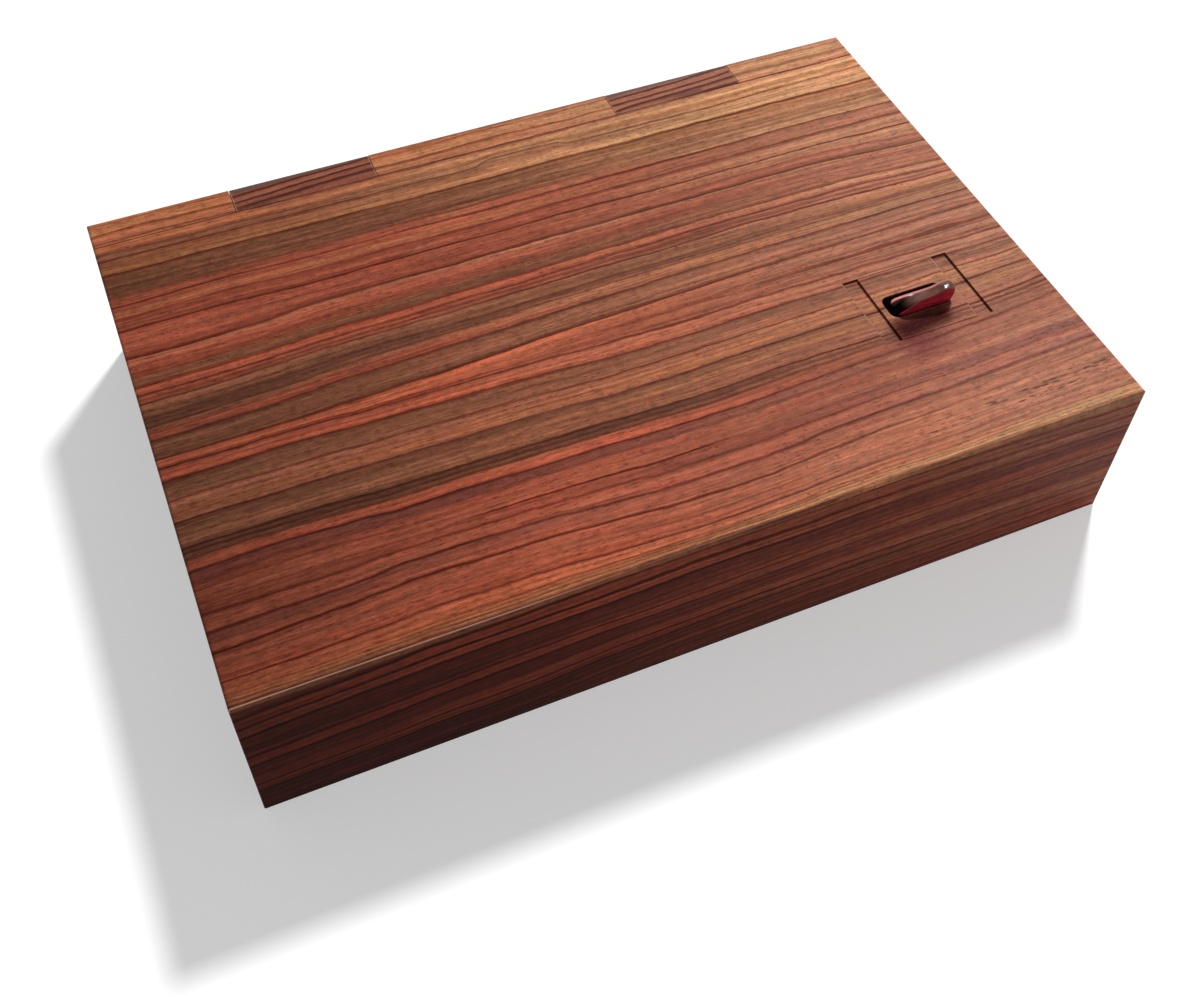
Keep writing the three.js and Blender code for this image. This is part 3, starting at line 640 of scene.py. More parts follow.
    # Flecks, and pores, most of them near the right front corner
    flecks = tree.marks(along, across, FLECK_LAYER, FLECK_SHARE, *FLECKS)
    colour = tree.tint(colour, "ink", tree.times(flecks, FLECK_STRENGTH))
    share = tree.shift(tree.grain(along, place, *PORE_CROWD), *PORE_SHARES)
    pores = tree.marks(along, across, tree.times(into, PORE_INTO), share, *PORES)
    pores = tree.times(pores, PORE_STRENGTH)
    for start, row, slope, width in PORE_ROWS:
        off = tree.minus(across, tree.times(tree.add(along, -ROW_PIVOT), slope))
        in_row = tree.times(tree.near(off, row, width), tree.math("GREATER_THAN", along, start))
        marks = tree.marks(along, across, row, ROW_SHARE, *ROWS)
        pores = tree.larger(pores, tree.times(marks, in_row, ROW_STRENGTH))
    colour = tree.mix(pores, colour, "line")

    # Painted highlight: the top's front edge is lit pale along its left half
    painted_light = tree.times(
        tree.near(across, ARRIS_HIGHLIGHT_PLACE, ARRIS_HIGHLIGHT_HALF),
        tree.shift(along, *ARRIS_HIGHLIGHT_ALONG),
        tree.shift(fade, *ARRIS_HIGHLIGHT_PATCHES),
    )
    colour = tree.mix(painted_light, colour, "arris_highlight")

    height = tree.minus(tree.times(fibres, FIBRE_RELIEF), tree.times(ink, LINE_RELIEF))
    rough = tree.shift(specks, *USUAL, *WOOD_ROUGHNESS)
    tree.put(target.inputs["Colour"], colour)
    tree.put(target.inputs["Roughness"], tree.add(rough, tree.times(ink, LINE_ROUGHNESS)))
    tree.put(target.inputs["Height"], tree.minus(height, pores))
    return group


def empty_tree(owner):
    """The node tree of a material or a world, without its nodes."""
    owner.use_nodes = True
    owner.node_tree.nodes.clear()
    return Tree(owner.node_tree)


def new_material(name):
    """A material with its tree, its shader and the object's place in millimetres."""
    material = bpy.data.materials.new(name)
    tree = empty_tree(material)
    shader = tree.node("ShaderNodeBsdfPrincipled")
    output = tree.node("ShaderNodeOutputMaterial")
    tree.put(output.inputs[0], shader.outputs[0])
    scaled = tree.node("ShaderNodeVectorMath", operation="SCALE")
    scaled.inputs["Scale"].default_value = UNITS_PER_METRE
    tree.put(scaled.inputs[0], tree.node("ShaderNodeTexCoord").outputs["Object"])
    split = tree.node("ShaderNodeSeparateXYZ")
    tree.put(split.inputs[0], scaled.outputs[0])
    return material, tree, shader, split.outputs


def facing(tree):
    """How much the surface faces along each axis."""
    split = tree.node("ShaderNodeSeparateXYZ")
    tree.put(split.inputs[0], tree.node("ShaderNodeTexCoord").outputs["Normal"])
    return split.outputs


def relief(tree, shader, height, strength, depth):
    """Gives a shader a fine relief, with its depth in millimetres."""
    bump = tree.node("ShaderNodeBump")
    bump.inputs["Strength"].default_value = strength
    bump.inputs["Distance"].default_value = depth * MM
    tree.put(bump.inputs["Height"], height)
    tree.put(shader.inputs["Normal"], bump.outputs[0])


def satin(tree, shader, colour, roughness, height, strength, depth):
    """Gives a shader the colour, soft shine and fine relief of varnished wood."""
    relief(tree, shader, height, strength, depth)
    tree.put(shader.inputs["Base Color"], colour)
    tree.put(shader.inputs["Roughness"], roughness)
    shader.inputs["Specular IOR Level"].default_value = SATIN
    shader.inputs["Specular Tint"].default_value = SATIN_TINT


# The latch recess and the plate's mortise, each a middle and a reach for each axis, and the walls
# that get painted shade: the upright ones, and the long ones only past the plate
RECESS_ZONE = [(117, 24), (-43.3, 18.2), (TOP - 2.3, 2)]
MORTISE_ZONE = [(115.8, 14.4), (-44.3, 7), (TOP - 0.8, 0.15)]
UPRIGHT = 0.7
PLATE_MIDDLE = 116.8
PLATE_HALF = 16.2
WALL_SHADE_SHARE = 0.85

# The button's painted shadow and reflection before it, with some dirt: its edges, the front one's
# slope, and how it thins
SHADOW_STAIN_LEFT = (94, 104)
SHADOW_STAIN_RIGHT = (121, 130)
SHADOW_STAIN_FRONT = (-64, -56)
SHADOW_STAIN_BACK = (-49, -50.8)
SHADOW_STAIN_SLOPE = 0.15
SHADOW_STAIN_PIVOT = 115
SHADOW_STAIN_THIN = (-54.5, -50.5, 1, 0.68)
SMEARS = (0.5, 1.6, 5.2, 2)
SMEAR_SHADES = (0.3, 0.6, 0.86, 1)

# A red veil on the lid before the recess
VEIL_LEFT = (92, 106)
VEIL_RIGHT = (106, 126)
VEIL_FRONT = (-75, -65)
VEIL_BACK = -60.8
VEIL_SHARE = 0.72

# Painted highlights: two pale lines across the plate and the recess, on the edges that catch the
# light
GLINT_MIDDLE = 113.4
GLINT_APART = 19.9
GLINT_HALF = 0.35
GLINT_ACROSS = (-43.3, 17)
GLINT_PATCHES = (1, 0.12, 2, 1)
GLINT_CUT = (0.45, 0.6)
GLINT_SHARE = 0.3


def recess_shade(tree, place, colour):
    """Paints shade on the latch recess's walls and mortise, the button's shadow and reflection
    with some dirt before it, a red veil, and highlights on two edges.
    """
    x, y, _ = place
    normal = facing(tree)
    # Painted shade: the recess's walls darkened, and black low in the plate's mortise
    ends = tree.math("GREATER_THAN", tree.size(normal[0]), UPRIGHT)
    sides = tree.math("GREATER_THAN", tree.size(normal[1]), UPRIGHT)
    beside = tree.math("GREATER_THAN", tree.size(tree.add(x, -PLATE_MIDDLE)), PLATE_HALF)
    wall_shade = tree.larger(ends, tree.times(sides, beside))
    wall_shade = tree.times(wall_shade, tree.inside(place, RECESS_ZONE), WALL_SHADE_SHARE)
    colour = tree.mix(wall_shade, colour, "recess_wall_shade")
    mortise = tree.inside(place, MORTISE_ZONE)
    colour = tree.mix(mortise, colour, "mortise")

    # Painted shadow and reflection of the button on the plate before it, with some dirt
    lower = tree.add(y, tree.times(tree.add(x, -SHADOW_STAIN_PIVOT), -SHADOW_STAIN_SLOPE))
    shadow_and_stain = tree.times(
        tree.fall(x, *SHADOW_STAIN_RIGHT),
        tree.rise(x, *SHADOW_STAIN_LEFT),
        tree.rise(lower, *SHADOW_STAIN_FRONT),
        tree.shift(y, *SHADOW_STAIN_BACK),
        tree.shift(tree.grain(x, lower, *SMEARS), *SMEAR_SHADES),
        tree.shift(y, *SHADOW_STAIN_THIN),
    )
    colour = tree.mix(shadow_and_stain, colour, "shadow_and_stain")
    veil = tree.times(
        tree.rise(x, *VEIL_LEFT),
        tree.fall(x, *VEIL_RIGHT),
        tree.rise(lower, *VEIL_FRONT),
        tree.math("LESS_THAN", y, VEIL_BACK),
        VEIL_SHARE,
    )
    colour = tree.mix(veil, colour, "veil")

    # Painted highlights on the recess's left edge and the plate's right edge
    edge_glints = tree.times(
        tree.near(tree.size(tree.add(x, -GLINT_MIDDLE)), GLINT_APART, GLINT_HALF),
        tree.near(y, *GLINT_ACROSS),
        tree.shift(tree.grain(x, y, *GLINT_PATCHES), *GLINT_CUT),
        GLINT_SHARE,
    )
    colour = tree.mix(edge_glints, colour, "edge_glints")
    return colour, tree.larger(mortise, shadow_and_stain)


# How deep the front and back faces' grain goes before the top's grain goes on
FOLD_SKIN = (0.5, 0.2)


def below_fold(tree, place):
    """How far a place is below the fold, as a negative number."""
    return tree.math("MINIMUM", tree.add(place[2], -FOLD_HEIGHT), 0)


def lay_long(tree, place):
    """Along, across and into the grain: it runs on down the front and the back from the top."""
    return place[0], tree.add(place[1], below_fold(tree, place)), place[2]


def lay_top(tree, place):
    """The same, but only on the front and back faces: the strips go on through the wood."""
    outer = tree.shift(tree.size(place[1]), *[HALF_DEPTH - skin for skin in FOLD_SKIN])
    drop = tree.times(below_fold(tree, place), outer)
    return place[0], tree.add(place[1], drop), place[2]


def lay_side(tree, place):
    """Carries the front's bands round the corner on to the sides."""
    past = tree.add(place[1], HALF_DEPTH + HALF_WIDTH)
    depth = tree.minus(HALF_WIDTH, tree.size(place[0]))
    across = tree.minus(tree.add(place[2], UNFOLDED_END), depth)
    return tree.times(tree.math("SIGN", place[0]), past), across, place[0]


def box_wood(name, lay):
    """The striped wood with its grain laid in one of those ways."""
    material, tree, shader, place = new_material(name)
    group = tree.node("ShaderNodeGroup", node_tree=stripes)
    for socket, value in zip(group.inputs, lay(tree, place)):
        tree.put(socket, value)
    colour, dull = recess_shade(tree, place, group.outputs[0])
    roughness = tree.larger(group.outputs[1], dull)
    satin(tree, shader, colour, roughness, group.outputs[2], *STRIPED_RELIEF)
    return material


stripes = striped_wood()
long_wood = box_wood("striped_wood_long", lay_long)
side_wood = box_wood("striped_wood_side", lay_side)


# Tones across the hinge tongues, from the front to the back, and how they change along them
TONGUE_BANDS = table(
    """
    99 mauve seam, 101.6 mauve seam, 102.5 mauve haze, 103.6 mauve haze, 104.4 smoke mauve,
    105.1 seam seam, 105.8 seam seam, 106.5 mauve haze, 108.1 mauve haze, 108.7 seam seam,
    109.3 seam seam, 110 haze haze, 112 mauve haze, 112.6 seam seam, 113.1 seam seam,
    113.8 mauve haze, 117 smoke mauve
    """
)
TONGUE_MIDDLE = 83.3
TONGUE_SLOPE = 0.052
# Painted light: the tongues brighter towards the right
TONGUE_LIGHT = (-110, 110, 0.94, 1.16)

# Noises in the tongues' wood and what they do, and its roughness
TONGUE_WAVER = (0.06, 0.2, 2.5, 2)
TONGUE_REACH = (-0.7, 0.7)
TONGUE_FIBRES = (0.1, 1.8, 1.7, 3)
TONGUE_FIBRE_SHADES = (0.25, 0.75, 0.72, 1.28)
TONGUE_SPECKS = (0.7, 1.6, 5.7, 2)
TONGUE_SPECK_SHADES = (0.8, 1.2)
TONGUE_ROUGHNESS = (0.36, 0.48)

# A smoky patch on each tongue's front part: where it fades along the box and across it
RIGHT_PATCH_END = (13, 11.6)
RIGHT_PATCH_ALONG = (70, 86)
RIGHT_PATCH_ACROSS = (105.4, 104.6)
LEFT_PATCH_ALONG = (-94, -102)
LEFT_PATCH_ACROSS = (104.2, 103.4)
PATCH_SHARE = 0.8

# The tongues' back edges greyed as painted shade, and their pale tips
TONGUE_BACK = (113.3, 114.4)
TONGUE_BACK_SLOPE = 0.03
TONGUE_BACK_SHARE = 0.75
TONGUE_TIP = (29, 29.3)
TONGUE_TIP_SHARE = 0.4


def hinge_wood():
    """Dark reddish wood with bold lines that rise a little to the right."""
    material, tree, shader, place = new_material("hinge_wood")
    x, y, _ = place
    side = tree.math("SIGN", x)
    along = tree.minus(x, tree.times(side, TONGUE_MIDDLE))
    across = tree.minus(y, tree.times(along, TONGUE_SLOPE))
    across = tree.add(across, below_fold(tree, place))
    waver = tree.grain(x, y, *TONGUE_WAVER)
    across = tree.add(across, tree.shift(waver, *WIDE, *TONGUE_REACH))
    colour = tree.striped(across, TONGUE_BANDS, tree.shift(side, -1, 1))
    right_patch = tree.times(
        tree.shift(along, *RIGHT_PATCH_END),
        tree.shift(y, *RIGHT_PATCH_ACROSS),
        tree.shift(x, *RIGHT_PATCH_ALONG),
    )
    left_patch = tree.times(tree.shift(x, *LEFT_PATCH_ALONG), tree.shift(y, *LEFT_PATCH_ACROSS))
    patch = tree.times(tree.larger(right_patch, left_patch), PATCH_SHARE)
    colour = tree.mix(patch, colour, "smoke")
    # Painted shade: the back edges greyed
    back = tree.shift(tree.add(y, tree.times(along, -TONGUE_BACK_SLOPE)), *TONGUE_BACK)
    colour = tree.mix(tree.times(back, TONGUE_BACK_SHARE), colour, "tongue_back_shade")
    fibres = tree.grain(x, across, *TONGUE_FIBRES)
    specks = tree.grain(x, across, *TONGUE_SPECKS)
    shade = tree.times(
        tree.shift(fibres, *TONGUE_FIBRE_SHADES),
        tree.shift(specks, *USUAL, *TONGUE_SPECK_SHADES),
        tree.shift(x, *TONGUE_LIGHT),
    )
    colour = tree.shaded(colour, shade)
    tip = tree.shift(tree.size(along), *TONGUE_TIP)
    colour = tree.mix(tree.times(tip, TONGUE_TIP_SHARE), colour, "tongue_tip")
    roughness = tree.shift(fibres, *USUAL, *TONGUE_ROUGHNESS)
    satin(tree, shader, colour, roughness, fibres, *WOOD_RELIEF)
    return material


# Plain wood: the waver of its rings, the rings, its fibres and roughness
PLAIN_WAVER = (0.02, 0.03)
PLAIN_WAVER_SCALE = 0.3
PLAIN_REACH = (-4, 4)
PLAIN_RINGS = (0.01, 0.35, 4, 3)
PLAIN_FIBRES = (0.2, 3, 6, 2)
PLAIN_SHADES = (0.88, 1.08)
PALE_ROUGHNESS = (0.49, 0.61)
HARD_ROUGHNESS = (0.39, 0.51)


def plain_wood(name, light, dark, roughness):
    """A plain wood with soft grain along its length."""
    material, tree, shader, (x, y, z) = new_material(name)
    waver = tree.vector(tree.times(x, PLAIN_WAVER[0]), tree.times(y, PLAIN_WAVER[1]), z)
    waver = tree.noise(waver, PLAIN_WAVER_SCALE)
    across = tree.add(tree.add(y, z), tree.shift(waver, *WIDE, *PLAIN_REACH))
    rings = tree.grain(x, across, *PLAIN_RINGS)
    fibres = tree.grain(x, across, *PLAIN_FIBRES)
    colour = tree.mix(tree.shift(rings, *USUAL), light, dark)
    colour = tree.shaded(colour, tree.shift(fibres, *USUAL, *PLAIN_SHADES))
    satin(tree, shader, colour, tree.shift(fibres, *USUAL, *roughness), fibres, *WOOD_RELIEF)
    return material


# Brass: how fine its brushing is each way, how rough and how deep
BRUSH_FINE = (0.4, 6)
BRUSH_DETAIL = 2
BRASS_ROUGHNESS = (0.26, 0.4)
BRASS_RELIEF = (0.1, 0.02)


def brass():
    """Plain brass with faint brushing."""
    material, tree, shader, (x, y, z) = new_material("brass")
    brushed = tree.grain(x, y, *BRUSH_FINE, z, BRUSH_DETAIL)
    colour = tree.mix(tree.shift(brushed, *USUAL), "brass_light", "brass_dark")
    tree.put(shader.inputs["Base Color"], colour)
    tree.put(shader.inputs["Roughness"], tree.shift(brushed, *USUAL, *BRASS_ROUGHNESS))
    shader.inputs["Metallic"].default_value = 1
    relief(tree, shader, brushed, *BRASS_RELIEF)
    return material


# The thumb button's grain, gloss and relief
CRIMSON_FINE = (0.12, 1.4)
CRIMSON_DETAIL = 3
CRIMSON_ROUGHNESS = (0.16, 0.24)
CRIMSON_RELIEF = (0.08, 0.05)
CRIMSON_SHINE = 0.1
COAT = 0.06
COAT_ROUGHNESS = 0.08

# Where its tones begin and end: deep crimson low down, painted brown reflection where it faces up,
# painted highlights on the front edge and the back rim, and painted black shade in the scoop and
# below the plate's face
CRIMSON_DEEP = (TOP + 1.5, TOP)
REFLECTION_FACING = (0.3, 0.6)
EDGE_GLINT_FACING = [(0.1, 0.3), (0.62, 0.45)]
EDGE_GLINT_FRONT = -0.5
EDGE_GLINT_SHARE = 0.4
RIM_ACROSS = (-42.9, -42.2)
RIM_HEIGHT = (TOP, TOP + 0.3)
RIM_ALONG = (130, 110, 0.45, 1)
SCOOP_ALONG = (108, 116)
SCOOP_ACROSS = (-42.3, -43)
SCOOP_FACING = (-0.75, -0.45)
HOLE_HEIGHT = (TOP - 0.3, TOP, 1, 0)


def button_wood():
    """Crimson wood under gloss, with a painted brown reflection on top, a painted highlight on its
    rim and painted black shade in its scoop.
    """
    material, tree, shader, (x, y, z) = new_material("button_wood")
    normal = facing(tree)
    grain = tree.grain(x, y, *CRIMSON_FINE, z, CRIMSON_DETAIL)
    part = tree.shift(grain, *USUAL)
    red = tree.mix(part, "crimson_light", "crimson_dark")
    colour = tree.mix(tree.shift(z, *CRIMSON_DEEP), red, "crimson_deep")
    # Painted reflection: brown where it faces up
    painted_light = tree.mix(part, "button_top_reflection_light", "button_top_reflection_dark")
    colour = tree.mix(tree.rise(normal[2], *REFLECTION_FACING), colour, painted_light)
    # Painted highlight along the front top edge
    edge = tree.times(
        tree.shift(normal[2], *EDGE_GLINT_FACING[0]),
        tree.shift(normal[2], *EDGE_GLINT_FACING[1]),
        tree.math("LESS_THAN", normal[1], EDGE_GLINT_FRONT),
        EDGE_GLINT_SHARE,
    )
    colour = tree.mix(edge, colour, "button_glint")
    # Painted highlight along the rim at the back
    rim = tree.times(
        tree.rise(y, *RIM_ACROSS),
        tree.shift(z, *RIM_HEIGHT),
        tree.shift(x, *RIM_ALONG),
    )
    colour = tree.mix(rim, colour, "button_glint")
    # Painted shade: black in the scoop and below the plate's face
    scoop_shade = tree.times(
        tree.fall(x, *SCOOP_ALONG),
        tree.shift(y, *SCOOP_ACROSS),
        tree.shift(normal[1], *SCOOP_FACING),
    )
    black = tree.larger(scoop_shade, tree.shift(z, *HOLE_HEIGHT))
    colour = tree.mix(black, colour, "scoop_shade")
    roughness = tree.shift(grain, *USUAL, *CRIMSON_ROUGHNESS)
    tree.put(shader.inputs["Base Color"], colour)
    tree.put(shader.inputs["Roughness"], tree.larger(roughness, black))
    tree.put(shader.inputs["Specular IOR Level"], tree.shift(black, 0, 1, CRIMSON_SHINE, 0))
    tree.put(shader.inputs["Coat Weight"], tree.shift(black, 0, 1, COAT, 0))
    shader.inputs["Coat Roughness"].default_value = COAT_ROUGHNESS
    relief(tree, shader, grain, *CRIMSON_RELIEF)
    return material


materials = {
    "striped_wood": box_wood("striped_wood_top", lay_top),
    "hinge_wood": hinge_wood(),
    "pale_wood": plain_wood("pale_wood", "pale_light", "pale_dark", PALE_ROUGHNESS),
    "hard_wood": plain_wood("hard_wood", "hard_light", "hard_dark", HARD_ROUGHNESS),
    "brass": brass(),
    "button_wood": button_wood(),
}
WALL_WOODS = {
    "left_wall": side_wood,
    "right_wall": side_wood,
    "front_wall": long_wood,
    "back_wall": long_wood,
}

for entry in frame["record"]["subparts"]:
    material = WALL_WOODS.get(entry["node"], materials[entry["material_slot"]])
    for place in frame["nodes"][entry["node"]].material_slots:
        place.link = "OBJECT"
        place.material = material


# The thumb button from its tail to its nose, as shares of its length and height: its front top
# edge, its back top edge, how far it sinks between them, and where its rings are
BUTTON_CREST = table(
    """
    0 -0.06, 0.04 0.19, 0.08 0.3, 0.14 0.42, 0.29 0.67, 0.48 0.8, 0.68 0.88, 0.78 1, 0.92 0.98,
    1 0.84
    """
)
BUTTON_RIM = table("0 -0.16, 0.05 0, 0.12 0.12, 0.3 0.17, 0.8 0.19, 0.92 0.32, 1 0.4")
BUTTON_DIP = table(
    """
    0 0.1, 0.08 0.3, 0.16 0.34, 0.28 0.28, 0.42 0.17, 0.6 0.09, 0.7 0, 0.8 -0.32, 1 -0.28
    """
)
BUTTON_STATIONS = [0, 0.02, 0.05, 0.09, 0.14, 0.2, 0.28, 0.38, 0.5, 0.62, 0.72, 0.8, 0.87, 0.92]
BUTTON_STATIONS += [0.96, 0.985, 1]

# How round its tail and nose are, seen from above
BUTTON_TAIL_RADIUS = 2.8 * MM
BUTTON_NOSE_RADIUS = 1.8 * MM

# How far its nose leans out, its gap from the solid's end, and its bulge's and slope's heights
BUTTON_LEAN = 2.1 * MM
BUTTON_SHORT = 0.05 * MM
BUTTON_BULGE = 0.38
BUTTON_SHOULDER = 0.72

# Its depth below the plate's face, its edges, rim, steps across, foot and smoothing
BUTTON_DEPTH = 0.9 * MM
BUTTON_EDGE = 0.35 * MM
BUTTON_RIM_WIDTH = 1.7 * MM
BUTTON_RIM_SHARE = 0.3
BUTTON_STEPS = (0.2, 0.4, 0.6, 0.8)
BUTTON_FOOT_WIDTH = 6 * MM
BUTTON_SMOOTHING = 2

# The flat black skirt, a sheet of painted shade that fills the plate's mortise from below: the
# mortise's offset from the plate's middle, its outline, and how far it is above the plate's
# underside
MORTISE_OFFSET = -1 * MM
SKIRT_LENGTH = 26.2 * MM
SKIRT_WIDTH = 11.4 * MM
SKIRT_RADIUS = 3.3 * MM
SKIRT_STEPS = 6
SKIRT_RISE = 0.02 * MM
SKIRT_THICKNESS = 0.18 * MM


def between(points, share):
    """The height of straight lines through points, at a share of their run."""
    for (x0, y0), (x1, y1) in zip(points, points[1:]):
        if share <= x1:
            break
    part = (share - x0) / (x1 - x0)
    return y0 + (y1 - y0) * part


def button_ring(low, high, top, share):
    """A ring of points across the button, from the foot of its front over to its back."""
    height = high.z - top
    footprint = high.x - low.x - BUTTON_LEAN - BUTTON_SHORT
    to_end = min(share, 1 - share) * footprint
    radius = BUTTON_TAIL_RADIUS if share < 0.5 else BUTTON_NOSE_RADIUS
    rounding = radius - math.sqrt(max(0, radius**2 - max(0, radius - to_end) ** 2))
    front, back = low.y + rounding, high.y - rounding
    crest = top + height * between(BUTTON_CREST, share)
    rim = top + height * between(BUTTON_RIM, share)
    dip = height * between(BUTTON_DIP, share)
    foot = top - BUTTON_DEPTH
    edge = BUTTON_EDGE
    section = [
        (front + edge, foot),
        (front, foot + edge / 2),
        (front, (foot + crest) / 2),
        (front, crest - 2 * edge),
        (front + edge / 3, crest - edge / 2),
        (front + edge, crest),
    ]
    inner = back - min(BUTTON_RIM_WIDTH, (back - front) * BUTTON_RIM_SHARE)
    for part in BUTTON_STEPS:
        y = front + edge + (inner - front - edge) * part
        section.append((y, crest + (rim + edge - crest) * part - dip * 4 * part * (1 - part)))
    section += [
        (inner, rim + edge),
        (inner + edge / 2, rim + 0.8 * edge),
        (back - edge, rim - edge),
        (back - edge / 3, rim - 1.6 * edge),
        (back, rim - 3 * edge),
        (back, min(foot, rim - 4 * edge)),
    ]
    points = []
    for y, z in section:
        rise = min(1, max(0, z - top) / height)
        reach = BUTTON_BULGE if rise < BUTTON_BULGE else BUTTON_SHOULDER
        lean = BUTTON_LEAN * share**3 * (1 - ((rise - BUTTON_BULGE) / reach) ** 2)
        points.append((low.x + footprint * share + lean, y, min(z, high.z)))
    return points


def add_tube(body, rings):
    """Joins rings into a closed tube, and gives back its faces."""
    count = len(rings[0])
    faces = []
    for ring, following in zip(rings, rings[1:]):
        for spot in range(count):
            after = (spot + 1) % count
            corners = (ring[spot], following[spot], following[after], ring[after])
            faces.append(body.faces.new(corners))
    faces.append(body.faces.new(reversed(rings[0])))
    faces.append(body.faces.new(rings[-1]))
    return faces


def add_skirt(body, plate_low, plate_high):
    """The button's flat skirt, a black sheet of painted shade that fills the plate's mortise from
    below.
    """
    centre = (plate_low + plate_high) / 2
    outline = []
    for quarter, (side_x, side_y) in enumerate([(1, 1), (-1, 1), (-1, -1), (1, -1)]):
        for step in range(SKIRT_STEPS + 1):
            turn = math.radians(90) * (quarter + step / SKIRT_STEPS)
            x = side_x * (SKIRT_LENGTH / 2 - SKIRT_RADIUS) + SKIRT_RADIUS * math.cos(turn)
            y = side_y * (SKIRT_WIDTH / 2 - SKIRT_RADIUS) + SKIRT_RADIUS * math.sin(turn)
            outline.append((centre.x + MORTISE_OFFSET + x, centre.y + MORTISE_OFFSET + y))
    crease = body.edges.layers.float.new("crease_edge")
    low = plate_low.z + SKIRT_RISE
    rings = [[body.verts.new((x, y, z)) for x, y in outline] for z in (low, low + SKIRT_THICKNESS)]
    for face in add_tube(body, rings):
        for edge in face.edges:
            edge[crease] = 1


def add_foot(body, low, high, top):
    """The button's foot, over the latch's screw."""
    screw_low, screw_high = (Vector(corner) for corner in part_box("latch_screw"))
    middle = (screw_low.x + screw_high.x) / 2
    half = BUTTON_FOOT_WIDTH / 2
    for corner in bmesh.ops.create_cube(body, size=1)["verts"]:
        corner.co.x = middle + (half if corner.co.x > 0 else -half)
        corner.co.y = high.y - BUTTON_EDGE if corner.co.y > 0 else low.y + BUTTON_EDGE
        corner.co.z = top - BUTTON_DEPTH / 2 if corner.co.z > 0 else low.z


def add_button():
    """The thumb button, a boat-shaped lever that rises to a blunt nose."""
    low, high = (Vector(corner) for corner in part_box("latch_button"))
    plate_low, plate_high = (Vector(corner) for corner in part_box("latch_plate"))
    top = plate_high.z
    body = bmesh.new()
    rings = [[body.verts.new(p) for p in button_ring(low, high, top, s)] for s in BUTTON_STATIONS]
    add_tube(body, rings)
    add_foot(body, low, high, top)
    add_skirt(body, plate_low, plate_high)
    bmesh.ops.recalc_face_normals(body, faces=body.faces)
    mesh = bpy.data.meshes.new("thumb_button")
    body.to_mesh(mesh)
    body.free()
    for face in mesh.polygons:
        face.use_smooth = True
    piece = add_object("thumb_button", mesh)
    mesh.materials.append(materials["button_wood"])
    smooth = piece.modifiers.new("smooth", "SUBSURF")
    smooth.levels = smooth.render_levels = BUTTON_SMOOTHING
    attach(piece, "latch")
    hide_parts("latch_button")


def add_object(name, data):
    """A new object in the scene."""
    made = bpy.data.objects.new(name, data)
    bpy.context.collection.objects.link(made)
    return made


def add_camera():
    """The camera that the box is seen from."""
    data = bpy.data.cameras.new("camera")
    data.lens = CAMERA_LENS
    data.shift_y = CAMERA_SHIFT
    data.clip_start, data.clip_end = CAMERA_CLIP
    camera = add_object("camera", data)
    right, down, ahead = (Vector(way) for way in (CAMERA_RIGHT, CAMERA_DOWN, CAMERA_FORWARD))
    turn = Matrix((right, -down, -ahead)).transposed().to_4x4()
    camera.matrix_world = Matrix.Translation(Vector(CAMERA_PLACE) * MM) @ turn
    bpy.context.scene.camera = camera


# The floor: its reach in metres, its depth below the box, its look, and the light it returns
FLOOR_REACH = 6
FLOOR_DROP = -0.2 * MM
FLOOR_LOOK = (0.62, 0.62, 0.62, 1)
FLOOR_GLOW = 0.42
FLOOR_RETURN = (0.5, 0.5, 0.5, 1)

# The sun's strength, its width, its way round the box and height in degrees, and the sky's light
SUN_STRENGTH = 3.6
SUN_WIDTH = 7
SUN_AROUND = 48
SUN_HEIGHT = 47
SKY_LIGHT = 0.3


def pick_seen(tree, kind, unseen, seen):
    """Ends a tree in a shader that is seen, also in mirrors, and one that lights the object."""
    rays = tree.node("ShaderNodeLightPath").outputs
    shown = tree.larger(rays["Is Camera Ray"], rays["Is Glossy Ray"])
    shown = tree.larger(shown, rays["Is Transmission Ray"])
    pick = tree.node("ShaderNodeMixShader")
    for socket, value in zip(pick.inputs, (shown, unseen.outputs[0], seen.outputs[0])):
        tree.put(socket, value)
    tree.put(tree.node(kind).inputs[0], pick.outputs[0])


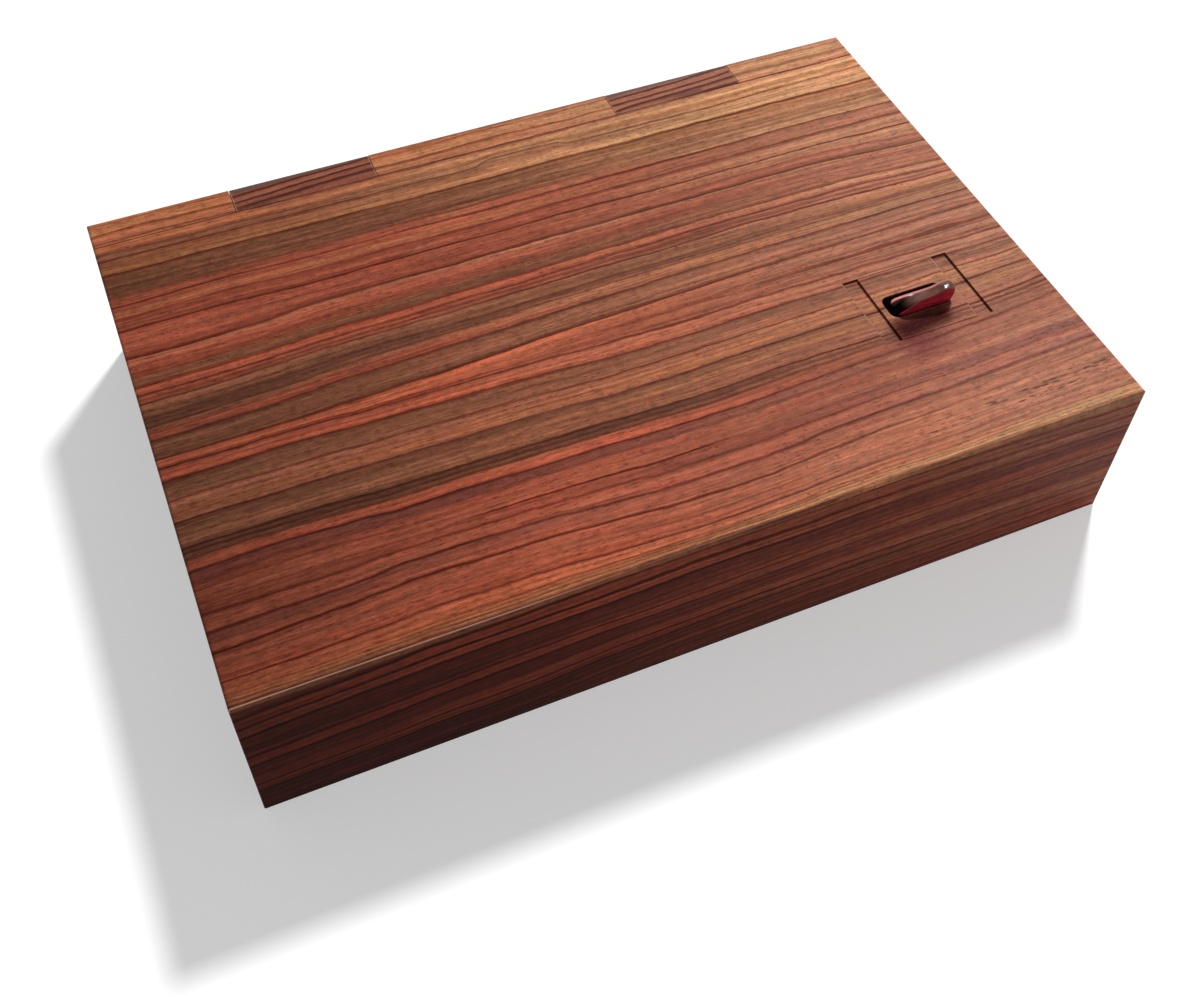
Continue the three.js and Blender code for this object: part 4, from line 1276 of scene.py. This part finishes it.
def add_floor():
    """A floor that shows white and returns less light to the object."""
    mesh = bpy.data.meshes.new("floor")
    reach = FLOOR_REACH
    corners = [(-reach, -reach, 0), (reach, -reach, 0), (reach, reach, 0), (-reach, reach, 0)]
    mesh.from_pydata(corners, [], [(0, 1, 2, 3)])
    floor = add_object("floor", mesh)
    floor.location.z = FLOOR_DROP
    material = bpy.data.materials.new("floor")
    tree = empty_tree(material)
    bright = tree.node("ShaderNodeBsdfDiffuse")
    bright.inputs["Color"].default_value = FLOOR_LOOK
    glow = tree.node("ShaderNodeEmission")
    glow.inputs["Color"].default_value = WHITE
    glow.inputs["Strength"].default_value = FLOOR_GLOW
    both = tree.node("ShaderNodeAddShader")
    tree.put(both.inputs[0], bright.outputs[0])
    tree.put(both.inputs[1], glow.outputs[0])
    dim = tree.node("ShaderNodeBsdfDiffuse")
    dim.inputs["Color"].default_value = FLOOR_RETURN
    pick_seen(tree, "ShaderNodeOutputMaterial", dim, both)
    mesh.materials.append(material)
    floor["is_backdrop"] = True


def add_sun():
    """A soft sun from the back right."""
    data = bpy.data.lights.new("window", "SUN")
    data.energy = SUN_STRENGTH
    data.angle = math.radians(SUN_WIDTH)
    lamp = add_object("window", data)
    around, up = math.radians(SUN_AROUND), math.radians(SUN_HEIGHT)
    way = Vector((math.cos(around) * math.cos(up), math.sin(around) * math.cos(up), math.sin(up)))
    lamp.location = way
    lamp.rotation_mode = "QUATERNION"
    lamp.rotation_quaternion = way.to_track_quat("Z", "Y")


def add_sky():
    """A dim even sky that shows white."""
    world = bpy.data.worlds.new("sky")
    bpy.context.scene.world = world
    tree = empty_tree(world)
    skies = []
    for strength in (SKY_LIGHT, 1):
        sky = tree.node("ShaderNodeBackground")
        sky.inputs["Color"].default_value = WHITE
        sky.inputs["Strength"].default_value = strength
        skies.append(sky)
    pick_seen(tree, "ShaderNodeOutputWorld", *skies)


add_button()
add_camera()
add_floor()
add_sun()
add_sky()
bpy.context.scene.view_settings.view_transform = "Standard"

shown_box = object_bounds()
boxes = {"cad": cad_box, "visual": shown_box}
boxes = {name: [list(corner) for corner in box] for name, box in boxes.items()}
